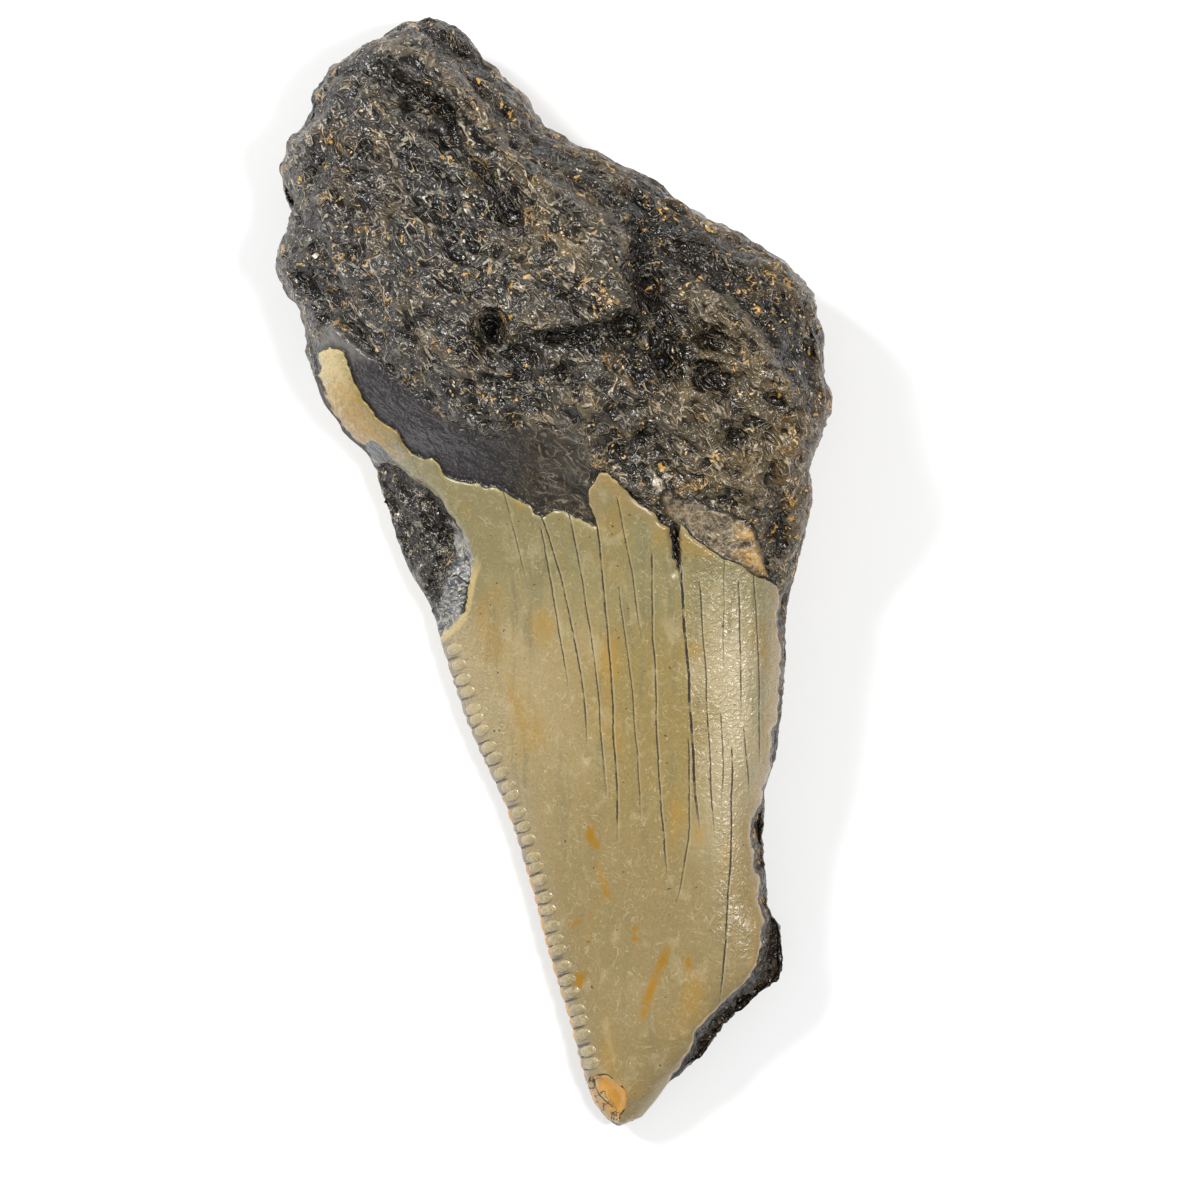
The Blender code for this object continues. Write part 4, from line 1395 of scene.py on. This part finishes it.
    def gloss(self, shader: Shader) -> Wire:
        """Finds where the crown is pebbled and glossier: down its right side and beside the serrations.

        Args:
            shader: The material being built.

        Returns:
            1 where it is glossiest.
        """
        low_strip = shader.x.rise(12.2, 13.6) * shader.y.rise(-33.0, -28.0) * 0.8
        right = (shader.x.rise(8.5, 12.5) * shader.y.rise(-22.0, -12.0)).over(low_strip)
        left = shader.region(Region.EDGE).rise(5.5, 2.5) * shader.y.rise(-18.0, -13.0)
        return right.over(left) * shader.region(Region.UPPER)

    def material(self) -> Material:
        """Builds the material.

        Returns:
            The material.
        """
        shader = Shader("tooth_finish")
        cloud = shader.noise(0.9, 3.0, 0.3, offset=(3.0, 3.0, 3.0))
        masks = self.masks(shader)
        mask = masks[Region.ENAMEL]
        relief = self.root.texture(shader)
        crown, lines = self.enamel_colour(shader, masks, cloud)
        colour = shader.layers(
            self.root_colour(shader, masks, relief, cloud),
            (mask, crown),
            (masks[Region.FRAYED] * 0.95, self.root.frayed_colour(shader)),
        )
        gloss = self.gloss(shader)
        pebbled = shader.lines(0.62, 0.15, (3.0, 3.0, 1.0))
        waves = masks[Region.STRIP] * shader.noise(1.1, 1.0, 0.5, offset=(8.0, 8.0, 2.0))
        crown_height = 0.5 + 0.08 * self.enamel.streaks(shader) + 0.10 * gloss * pebbled + 0.6 * waves
        crown_height = crown_height + 0.03 * cloud - 0.30 * lines
        smooth = masks[Region.BAND].over(masks[Region.TONGUE])
        base_height = relief * (1.0 - 0.75 * smooth) + 0.30 * smooth * cloud
        normal = shader.bump(mask * crown_height + (1.0 - mask) * base_height, self.relief_depth)
        base_rough = self.root_roughness + 0.08 * smooth
        crown_rough = self.enamel_roughness + 0.20 * (cloud - 0.5) - 0.06 * gloss + 0.4 * lines
        return shader.finish(colour, mask * crown_rough + (1.0 - mask) * base_rough, normal)


@dataclass(frozen=True)
class SerrationFinish:
    """Enamel on the serrations' ribs: the crown's own colour, cooler in places, paler, partly from wear and
    partly as painted sheen, with streaks painted as highlights, and glossier.
    """

    enamel: EnamelFinish = EnamelFinish()
    roughness: float = 0.17

    def material(self) -> Material:
        """Builds the material.

        Returns:
            The material.
        """
        shader = Shader("serration_finish")
        cool = shader.noise(1.2, 2.0, offset=(0.0, 5.0, 0.0)).rise(0.45, 0.65)
        # Paler ribs, partly worn and partly painted sheen, with streaks painted as highlights.
        worn = 0.22 + 0.5 * shader.lines(0.55, 0.06, (1.0, 5.0, 5.0), (0.4, 1.0, 1.0), 20.0)
        tints = (cool * 0.35, self.enamel.steel), (worn, self.enamel.pale)
        colour = shader.layers(self.enamel.colour(shader), *tints)
        return shader.finish(colour, self.roughness, shader.bump(shader.noise(0.3, 2.0), 0.05))


@dataclass(frozen=True)
class SpeckFinish:
    """Small bodies in a few mineral colours, which soft noise picks between."""

    name: str
    wavelength: float
    detail: float
    offset: Colour
    base: Colour
    tints: tuple[tuple[float, float, Colour], ...]
    roughness: float

    def material(self) -> Material:
        """Builds the material.

        Returns:
            The material.
        """
        shader = Shader(self.name)
        pick = shader.noise(self.wavelength, self.detail, offset=self.offset)
        tints = ((pick.rise(low, high), tint) for low, high, tint in self.tints)
        return shader.finish(shader.layers(self.base, *tints), self.roughness)


GRAIN_TINTS = ((0.42, 0.50, (0.520, 0.330, 0.130)), (0.58, 0.64, (0.550, 0.470, 0.330)))
SPLINTER_TINTS = ((0.4, 0.6, (0.330, 0.280, 0.190)),)
GRAIN_FINISH = SpeckFinish(
    "grain_finish", 1.1, 1.0, (4.0, 4.0, 4.0), (0.060, 0.050, 0.038), GRAIN_TINTS, 0.35
)
SPLINTER_FINISH = SpeckFinish(
    "splinter_finish", 0.7, 2.0, (0.0, 0.0, 0.0), (0.450, 0.430, 0.380), SPLINTER_TINTS, 0.4
)


@dataclass(frozen=True)
class FloorFinish:
    """A plain pale floor."""

    colour: Colour = (0.86, 0.86, 0.86)
    roughness: float = 0.8

    def material(self) -> Material:
        """Builds the material."""
        return Shader("floor_finish").finish(self.colour, self.roughness)


def add_object(name: str, mesh: Mesh) -> Object:
    """Puts a mesh in the scene at the origin.

    Args:
        name: The object's name.
        mesh: Its mesh.

    Returns:
        The object.
    """
    obj = bpy.data.objects.new(name, mesh)
    bpy.context.scene.collection.objects.link(obj)
    return obj


def coordinates(mesh: Mesh) -> Array:
    """Reads a mesh's points.

    Args:
        mesh: The mesh.

    Returns:
        Its points, one a row.
    """
    places = np.empty(len(mesh.vertices) * 3, np.float32)
    mesh.vertices.foreach_get("co", places)
    return places.reshape(-1, 3).astype(float)


def set_coordinates(mesh: Mesh, places: Array) -> None:
    """Moves a mesh's points."""
    mesh.vertices.foreach_set("co", places.astype(np.float32).ravel())
    mesh.update()


def normals(mesh: Mesh) -> Array:
    """Reads the normals at a mesh's points.

    Args:
        mesh: The mesh.

    Returns:
        The normals, one a row.
    """
    values = np.empty(len(mesh.vertices) * 3, np.float32)
    mesh.vertex_normals.foreach_get("vector", values)
    return values.reshape(-1, 3).astype(float)


def store(mesh: Mesh, name: str, values: Array) -> Array:
    """Writes one number on each of a mesh's points.

    Args:
        mesh: The mesh.
        name: The attribute's name.
        values: The numbers.

    Returns:
        The numbers as the mesh keeps them.
    """
    kept = values.astype(np.float32)
    mesh.attributes.new(name, "FLOAT", "POINT").data.foreach_set("value", kept)
    return kept.astype(float)


@dataclass
class FossilTooth:
    """The tooth itself, one closed mesh with its regions stored on its points."""

    form: ToothForm = field(default_factory=ToothForm)
    finish: ToothFinish = ToothFinish()
    name: str = "fossil_tooth"
    seed: int = 7
    middle: Array = field(init=False, repr=False)

    def plain_mesh(self) -> tuple[Mesh, Array]:
        """Lays a grid round the sections and closes each end with one point.

        Returns:
            The mesh in millimetres, and whether each point lies on the under face.
        """
        ys, around = self.form.rows(), self.form.around
        sections = zip(ys, map(self.form.ring, ys))
        rings = [np.column_stack([x, np.full(around, y), z]) for y, (x, z) in sections]
        top, foot = rings[0].mean(axis=0), rings[-1].mean(axis=0)
        grid = 1 + np.arange((len(ys) - 2) * around).reshape(-1, around)
        beside = np.roll(grid, -1, axis=1)
        faces = np.stack([grid[:-1], grid[1:], beside[1:], beside[:-1]], axis=-1).reshape(-1, 4).tolist()
        faces += [(0, a, b) for a, b in zip(grid[0].tolist(), beside[0].tolist())]
        faces += [(a, grid.size + 1, b) for a, b in zip(grid[-1].tolist(), beside[-1].tolist())]
        mesh = bpy.data.meshes.new(self.name)
        mesh.from_pydata([top.tolist(), *np.concatenate(rings[1:-1]).tolist(), foot.tolist()], [], faces)
        column = np.concatenate([[0], np.tile(np.arange(around), len(ys) - 2), [0]])
        return mesh, column > round(around * self.form.upper_share)

    def shape(self, mesh: Mesh) -> dict[Region, Array]:
        """Raises the relief on the plain mesh, coarse forms first and fine wrinkles after.

        Args:
            mesh: The plain mesh, in millimetres.

        Returns:
            What the root's finish reads: how near a crest each point is, and the height of the larger forms.
        """
        form = self.form
        places, normal = coordinates(mesh), normals(mesh)
        upward = ramp(-0.05, 0.25, normal[:, 2])
        lift = form.upper_relief(places) * upward
        swell = form.side_relief(places, normal[:, 2]) * (1 - upward)
        places[:, 2] += lift
        places += normal * swell[:, None]
        set_coordinates(mesh, places)
        normal = normals(mesh)
        x, y, _ = places.T
        ragged = wandering(x, y)
        enamel = np.where(normal[:, 2] > -0.2, inside(ENAMEL, *ragged), self.under_enamel(x, y))
        smooth = np.maximum(inside(SMOOTH_BAND, x, y), inside(TONGUE, *ragged))
        rough = ramp(0.2, -0.4, enamel) * (1 - 0.85 * ramp(-0.2, 0.4, smooth))
        grained = with_grain(places)
        relief = form.broad_height * (wrinkles(grained, form.broad_wrinkle, SHAPE_SEED) - 0.5)
        relief += form.close_height * (wrinkles(grained, form.close_wrinkle, CLOSE_SEED) - 0.5)
        relief += lumps(places, FINE_LUMPS, FINE_SEED)
        rough *= 0.45 + 0.55 * ramp(0.0, 0.6, np.abs(normal[:, 2]))
        places += normal * (rough * relief)[:, None]
        places[:, 2] = np.maximum(places[:, 2], 0.0)
        set_coordinates(mesh, places)
        crest = np.clip(0.5 + relief / (form.broad_height + form.close_height), 0, 1)
        hollow = 1.3 * form.landforms(x, y) * upward + 0.65 * lumps(grained, ROOT_LUMPS)
        return {Region.CREST: crest, Region.HOLLOW: hollow}

    def under_enamel(self, x: Array, y: Array) -> Array:
        """Measures how far places are inside the enamel of the under face.

        Args:
            x: Places across the tooth.
            y: Places along the tooth.

        Returns:
            One distance for each place, negative outside the enamel.
        """
        border = np.interp(x, *zip(*UNDER_BORDER))
        return np.minimum(border - y, self.form.edges(y)[1] - x - 0.9)

    @staticmethod
    def stain_distance(stains: Sequence[Stain], x: Array, y: Array) -> Array:
        """Measures how far places are inside the nearest of some stains.

        Args:
            stains: The stains.
            x: Places across the tooth.
            y: Places along the tooth.

        Returns:
            One distance for each place, negative outside the stains.
        """
        best = np.full(x.shape, OUTSIDE)
        for stain in stains:
            across = x - stain.x - stain.lean * (y - stain.y)
            size = np.hypot(across / stain.half_width, (y - stain.y) / stain.half_length)
            best = np.maximum(best, (1 - size) * stain.half_width)
        return best

    def store_regions(self, mesh: Mesh, under: Array, relief: dict[Region, Array]) -> None:
        """Writes what the finishes and the scattered bodies read on the mesh's points.

        Args:
            mesh: The shaped mesh, in millimetres.
            under: Whether each point lies on the under face.
            relief: The values that come from the shaping.
        """
        x, y, _ = coordinates(mesh).T
        below = under & (normals(mesh)[:, 2] < 0.3)
        ragged = wandering(x, y)
        left, right = self.form.edges(y)
        on_top = {
            Region.BAND: inside(SMOOTH_BAND, x, y),
            Region.TONGUE: inside(TONGUE, *ragged),
            Region.SPALL: inside(SPALL, *ragged),
            Region.FRAYED: inside(FRAYED, x, y),
            Region.STRIP: inside(STRIP, x, y),
            Region.SHOULDER_CHIP: inside(SHOULDER_CHIP, x, y),
            Region.TIP_CHIP: inside(TIP_CHIP, *ragged),
            Region.STAIN: self.stain_distance(RUST_STAINS, x, y),
            Region.OCHRE: self.stain_distance(OCHRE_STAINS, x, y),
            Region.RIM: -np.abs(step_distances(RIM_LINE, x, y)),
            Region.BEVEL: step_distances(BEVEL_LINE, x, y),
        }
        values = {region: np.where(below, OUTSIDE, value) for region, value in on_top.items()} | {
            Region.ENAMEL: np.where(below, self.under_enamel(x, y), inside(ENAMEL, *ragged)),
            Region.EDGE: x - left,
            Region.FAR_EDGE: right - x,
            Region.UPPER: np.where(below, 0.0, 1.0),
            Region.SERRATION: self.form.serration_phase(y, x - left),
        }
        kept = {region: store(mesh, region.value, value) for region, value in (values | relief).items()}
        store(mesh, GRAIN_DENSITY, self.grain_density(x, y, kept[Region.ENAMEL]))
        store(mesh, SPLINTER_DENSITY, ramp(-0.1, 0.2, kept[Region.FRAYED]) * kept[Region.UPPER])

    @staticmethod
    def grain_density(x: Array, y: Array, enamel: Array) -> Array:
        """Finds where grains lie: on the root, with more of them on its broken side and at its border.

        Args:
            x: Places across the tooth.
            y: Places along the tooth.
            enamel: How far inside the enamel they are.

        Returns:
            A share from 0 to 1 for each place.
        """
        patchy = lumps(flat(x, y), GRAIN_PATCHES, GRAIN_SEED)
        smooth = np.maximum(inside(SMOOTH_BAND, x, y), inside(TONGUE, x, y))
        rough = ramp(-0.1, -0.5, np.maximum(enamel, smooth))
        return rough * ramp(0.05, 0.5, patchy) * (0.3 + 0.7 * ramp(-4.0, 12.0, x)) * ramp(-4.0, 0.0, y)

    def build(self) -> Object:
        """Makes the tooth and gives it its finish.

        Returns:
            The tooth.
        """
        noise.seed_set(self.seed)
        mesh, under = self.plain_mesh()
        self.store_regions(mesh, under, self.shape(mesh))
        places = coordinates(mesh)
        self.middle = (places.max(axis=0) + places.min(axis=0)) / 2
        centring = Matrix.Translation((-self.middle[0], -self.middle[1], 0.0))
        mesh.transform(Matrix.Diagonal((MM, MM, MM, 1)) @ centring)
        mesh.shade_smooth()
        mesh.materials.append(self.finish.material())
        return add_object(self.name, mesh)


class GeometryGraph(Graph):
    """Builds one Geometry Nodes tree with named inputs."""

    def __init__(self, name: str, inputs: dict[str, str]) -> None:
        """Makes the tree, its geometry sockets and its named inputs.

        Args:
            name: The tree's name.
            inputs: Each named input's socket type.
        """
        super().__init__(bpy.data.node_groups.new(name, "GeometryNodeTree"))
        face = self.tree.interface
        for way in ("INPUT", "OUTPUT"):
            face.new_socket("Geometry", in_out=way, socket_type="NodeSocketGeometry")
        self.identifiers = {
            key: face.new_socket(key, in_out="INPUT", socket_type=f"NodeSocket{kind}").identifier
            for key, kind in {**inputs, "Seed": "Int", "Material": "Material"}.items()
        }
        self.given = self.node("NodeGroupInput").outputs
        self.sink = self.node("NodeGroupOutput").inputs[0]

    def attribute(self, name: str, kind: str) -> Socket:
        """An attribute of the geometry's points."""
        return self.out("GeometryNodeInputNamedAttribute", {"data_type": kind}, {"Name": name})

    def between(self, low: object, high: object) -> Socket:
        """A random number between two values, by the tree's seed."""
        limits = {2: low, 3: high, "Seed": self.given["Seed"]}
        return self.out("FunctionNodeRandomValue", {"data_type": "FLOAT"}, limits, 1)

    def scaled(self, vector: Socket, factor: Socket) -> Socket:
        """A vector times a number."""
        return self.out("ShaderNodeVectorMath", {"operation": "SCALE"}, {0: vector, "Scale": factor})

    def copies(self, points: Socket, body: Socket, turn: Socket, scale: Socket) -> None:
        """Sets a body on each point, and ends the tree in Realize Instances and Set Material.

        Args:
            points: The points.
            body: The body's mesh.
            turn: Its rotation.
            scale: Its scale.
        """
        sockets = {"Points": points, "Instance": body, "Rotation": turn, "Scale": scale}
        placed = self.out("GeometryNodeInstanceOnPoints", {}, sockets)
        real = self.out("GeometryNodeRealizeInstances", {}, {"Geometry": placed})
        sockets = {"Geometry": real, "Material": self.given["Material"]}
        self.feed(self.sink, self.out("GeometryNodeSetMaterial", {}, sockets))

    def apply(self, obj: Object, values: dict[str, object]) -> Mesh:
        """Runs the tree on an object.

        Args:
            obj: The object whose geometry goes in.
            values: The named inputs' values.

        Returns:
            The result as a plain mesh. The object is left without the modifier.
        """
        modifier = obj.modifiers.new(self.tree.name, "NODES")
        modifier.node_group = self.tree
        for key, value in values.items():
            modifier[self.identifiers[key]] = value
        obj.update_tag()
        graph = bpy.context.evaluated_depsgraph_get()
        shown = obj.evaluated_get(graph)
        mesh = bpy.data.meshes.new_from_object(shown, preserve_all_data_layers=True, depsgraph=graph)
        obj.modifiers.remove(modifier)
        return mesh


@dataclass
class Scatter:
    """Small worn bodies strewn over the tooth where a density stored on its points allows."""

    name: str
    finish: SpeckFinish
    density: str
    per_square_metre: float
    smallest: float
    largest: float
    stretch: Colour
    sink: float
    seed: int

    def tree(self) -> GeometryGraph:
        """Builds the Geometry Nodes tree.

        Returns:
            The tree: points on the faces, sunk a little, with a turned and stretched body on each.
        """
        numbers = dict.fromkeys(("Density", "Smallest", "Largest", "Sink"), "Float")
        made = GeometryGraph(self.name, {**numbers, "Stretch": "Vector"})
        given, seed = made.given, made.given["Seed"]
        factors = {0: given["Density"], 1: made.attribute(self.density, "FLOAT")}
        amount = made.out("ShaderNodeMath", {"operation": "MULTIPLY"}, factors)
        sockets = {"Mesh": given["Geometry"], "Density": amount, "Seed": seed}
        at_random = {"distribute_method": "RANDOM"}
        strewn = made.node("GeometryNodeDistributePointsOnFaces", at_random, sockets).outputs
        down = made.scaled(strewn["Normal"], given["Sink"])
        sunk = made.out("GeometryNodeSetPosition", {}, {"Geometry": strewn["Points"], "Offset": down})
        limits = {0: (0.0, 0.0, 0.0), 1: (0.0, 0.0, math.tau), "Seed": seed}
        spin = made.out("FunctionNodeRandomValue", {"data_type": "FLOAT_VECTOR"}, limits)
        turns = {0: strewn["Rotation"], 1: spin}
        turn = made.out("FunctionNodeRotateRotation", {"rotation_space": "LOCAL"}, turns)
        body = made.out("GeometryNodeMeshIcoSphere", {}, {"Radius": 1.0, "Subdivisions": 1})
        size = made.scaled(given["Stretch"], made.between(given["Smallest"], given["Largest"]))
        made.copies(sunk, body, turn, size)
        return made

    def build(self, tooth: Object) -> Object:
        """Strews the bodies.

        Args:
            tooth: The tooth, with the density on its points.

        Returns:
            The bodies as one piece.
        """
        values = {
            "Density": self.per_square_metre,
            "Smallest": self.smallest * MM,
            "Largest": self.largest * MM,
            "Stretch": self.stretch,
            "Sink": -self.sink * MM,
            "Seed": self.seed,
            "Material": self.finish.material(),
        }
        return add_object(self.name, self.tree().apply(tooth, values))


STREWN = (
    Scatter(
        name="mineral_grains",
        finish=GRAIN_FINISH,
        density=GRAIN_DENSITY,
        per_square_metre=2.4e6,
        smallest=0.06,
        largest=0.15,
        stretch=(1.5, 0.8, 0.6),
        sink=0.02,
        seed=11,
    ),
    Scatter(
        name="enamel_splinters",
        finish=SPLINTER_FINISH,
        density=SPLINTER_DENSITY,
        per_square_metre=2.5e6,
        smallest=0.16,
        largest=0.40,
        stretch=(1.0, 0.2, 0.18),
        sink=0.05,
        seed=5,
    ),
)


@dataclass
class Serrations:
    """Low enamel ribs side by side along the cutting edge, which run in from it and sink into the crown."""

    form: ToothForm
    finish: SerrationFinish = SerrationFinish()
    name: str = "serrations"
    length: float = 0.98
    width: float = 0.50
    height: float = 0.26
    proud: float = 0.05
    dip: float = 0.15
    block: float = 2.3
    spread: float = 0.06
    seed: int = 4

    def guide(self, middle: Array) -> Object:
        """Makes the line on which the ribs stand, one point to a rib, with the way inwards stored on it.

        Args:
            middle: The centre that the tooth was moved from, in millimetres.

        Returns:
            A guide object, removed after use.
        """
        fine = np.linspace(self.form.serrated_from, self.form.serrated_to, 4000)
        phase = self.form.serration_phase(fine)
        ys = np.interp(np.arange(0.5, phase[-1]), phase, fine)
        slope = np.gradient(self.form.edges(fine)[0], fine)
        leans = -np.interp(-ys, -fine, slope)
        points, inward = [], []
        for y, lean in zip(ys, leans):
            way = np.array([1.0, lean]) / math.hypot(1.0, lean)
            edge = np.array([self.form.edges(y)[0], y])
            heights = [self.top_height(*(edge + way * run * self.length)) for run in (0.5, 1.0, 1.5)]
            x, along_tooth = edge + way * (self.length - self.proud)
            points.append((x, along_tooth, heights[1]))
            inward.append((*(way * self.length), heights[2] - heights[0] - self.dip))
        mesh = bpy.data.meshes.new("guide")
        places = (np.array(points) - (middle[0], middle[1], 0.0)) * MM
        mesh.from_pydata([tuple(p) for p in places], [(i, i + 1) for i in range(len(points) - 1)], [])
        directions = np.array(inward) / np.linalg.norm(inward, axis=1)[:, None]
        layer = mesh.attributes.new("inward", "FLOAT_VECTOR", "POINT")
        layer.data.foreach_set("vector", directions.astype(np.float32).ravel())
        return add_object("guide", mesh)

    def top_height(self, x: float, y: float) -> float:
        """Finds how high a rib's middle stands, most of it above the crown's enamel.

        Args:
            x: A place across the tooth.
            y: The same place along it.

        Returns:
            The height.
        """
        low, high = self.form.edges(y)
        upper, _ = self.form.profile(y, np.array([(x - low) / (high - low)]))
        return float(upper[0]) + self.form.enamel_step - self.height * 0.55

    def tree(self) -> GeometryGraph:
        """Builds the Geometry Nodes tree.

        Returns:
            The tree: a rounded block on each point of the guide, turned inwards.
        """
        made = GeometryGraph("serration ribs", {"Size": "Vector", "Least": "Float", "Most": "Float"})
        given = made.given
        curve = made.out("GeometryNodeMeshToCurve", {}, {"Mesh": given["Geometry"]})
        ways = {0: made.attribute("inward", "FLOAT_VECTOR"), 1: made.out("GeometryNodeInputTangent", {}, {})}
        turn = made.out("FunctionNodeAxesToRotation", {"primary_axis": "X", "secondary_axis": "Y"}, ways)
        block = made.out("GeometryNodeMeshCube", {}, {"Size": (self.block,) * 3})
        body = made.out("GeometryNodeSubdivisionSurface", {}, {"Mesh": block, "Level": 3})
        size = made.scaled(given["Size"], made.between(given["Least"], given["Most"]))
        made.copies(curve, body, turn, size)
        return made

    def build(self, middle: Array) -> Object:
        """Lays the ribs along the edge.

        Args:
            middle: The centre that the tooth was moved from, in millimetres.

        Returns:
            The ribs as one piece.
        """
        guide = self.guide(middle)
        values = {
            "Size": (self.length * MM, self.width * MM, self.height * MM),
            "Least": 1.0 - self.spread,
            "Most": 1.0 + self.spread,
            "Seed": self.seed,
            "Material": self.finish.material(),
        }
        mesh = self.tree().apply(guide, values)
        bpy.data.objects.remove(guide)
        mesh.shade_smooth()
        return add_object(self.name, mesh)


@dataclass(frozen=True)
class Lamp:
    """A square soft light aimed at the tooth: its place and size in metres, and its power."""

    name: str
    place: Colour
    size: float
    power: float


@dataclass
class Studio:
    """A pale floor, soft lights and the camera above."""

    target: tuple[float, float, float] = (3.68, -2.24, 6.0)
    distance: float = 2.0
    frame_width: float = 96.0
    sensor: float = 36.0
    near_clip: float = 0.01
    ambient: float = 0.32
    floor_half: float = 1.5
    floor_drop: float = 0.05
    lamps: tuple[Lamp, ...] = (
        Lamp("key", (-0.36, 0.24, 0.42), 0.18, 3.9),
        Lamp("fill", (0.24, 0.00, 0.54), 0.16, 2.9),
    )
    floor: FloorFinish = FloorFinish()

    def add_floor(self) -> Object:
        """Lays the floor just under the tooth.

        Returns:
            The floor.
        """
        half = self.floor_half
        corners = [(-half, -half, 0), (half, -half, 0), (half, half, 0), (-half, half, 0)]
        mesh = bpy.data.meshes.new("floor")
        mesh.from_pydata(corners, [], [(0, 1, 2, 3)])
        mesh.materials.append(self.floor.material())
        floor = add_object("floor", mesh)
        floor.location.z = -self.floor_drop * MM
        return floor

    @staticmethod
    def add_lamp(lamp: Lamp) -> None:
        """Hangs a lamp, aimed at the origin.

        Args:
            lamp: The lamp.
        """
        light = bpy.data.lights.new(lamp.name, "AREA")
        light.shape, light.size, light.energy = "SQUARE", lamp.size, lamp.power
        holder = bpy.data.objects.new(lamp.name, light)
        holder.location = lamp.place
        holder.rotation_euler = (-Vector(lamp.place)).to_track_quat("-Z", "Y").to_euler()
        bpy.context.scene.collection.objects.link(holder)

    def add_camera(self) -> None:
        """Sets up a long lens that looks straight down, with the root at the top of the frame."""
        camera = bpy.data.cameras.new("camera")
        camera.sensor_width = self.sensor
        camera.lens = self.sensor * self.distance / (self.frame_width * MM)
        camera.clip_start = self.near_clip
        eye = bpy.data.objects.new("camera", camera)
        x, y, z = (value * MM for value in self.target)
        eye.location = (x, y, z + self.distance)
        bpy.context.scene.collection.objects.link(eye)
        bpy.context.scene.camera = eye

    def build(self) -> Object:
        """Sets the whole studio up.

        Returns:
            The floor.
        """
        world = bpy.data.worlds.new("studio")
        world.use_nodes = True
        background = world.node_tree.nodes["Background"]
        background.inputs["Color"].default_value = (1.0, 1.0, 1.0, 1.0)
        background.inputs["Strength"].default_value = self.ambient
        bpy.context.scene.world = world
        bpy.context.scene.view_settings.view_transform = "Standard"
        for lamp in self.lamps:
            self.add_lamp(lamp)
        self.add_camera()
        return self.add_floor()


def dress(piece: Object) -> None:
    """Ties a finished piece to the tooth's body, hides the tooth's node, and reports it.

    Args:
        piece: The piece.
    """
    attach(piece, BODY)
    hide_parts(NODE)
    LOG.info("%s: %d faces", piece.name, len(piece.data.polygons))


def main() -> None:
    """Builds the tooth and the studio."""
    logging.basicConfig(level=logging.INFO, format="%(name)s: %(message)s")
    tooth = FossilTooth()
    solid = tooth.build()
    strewn = [bodies.build(solid) for bodies in STREWN]
    for piece in (solid, *strewn, Serrations(tooth.form).build(tooth.middle)):
        dress(piece)
    Studio().build()


if __name__ == "__main__":
    main()
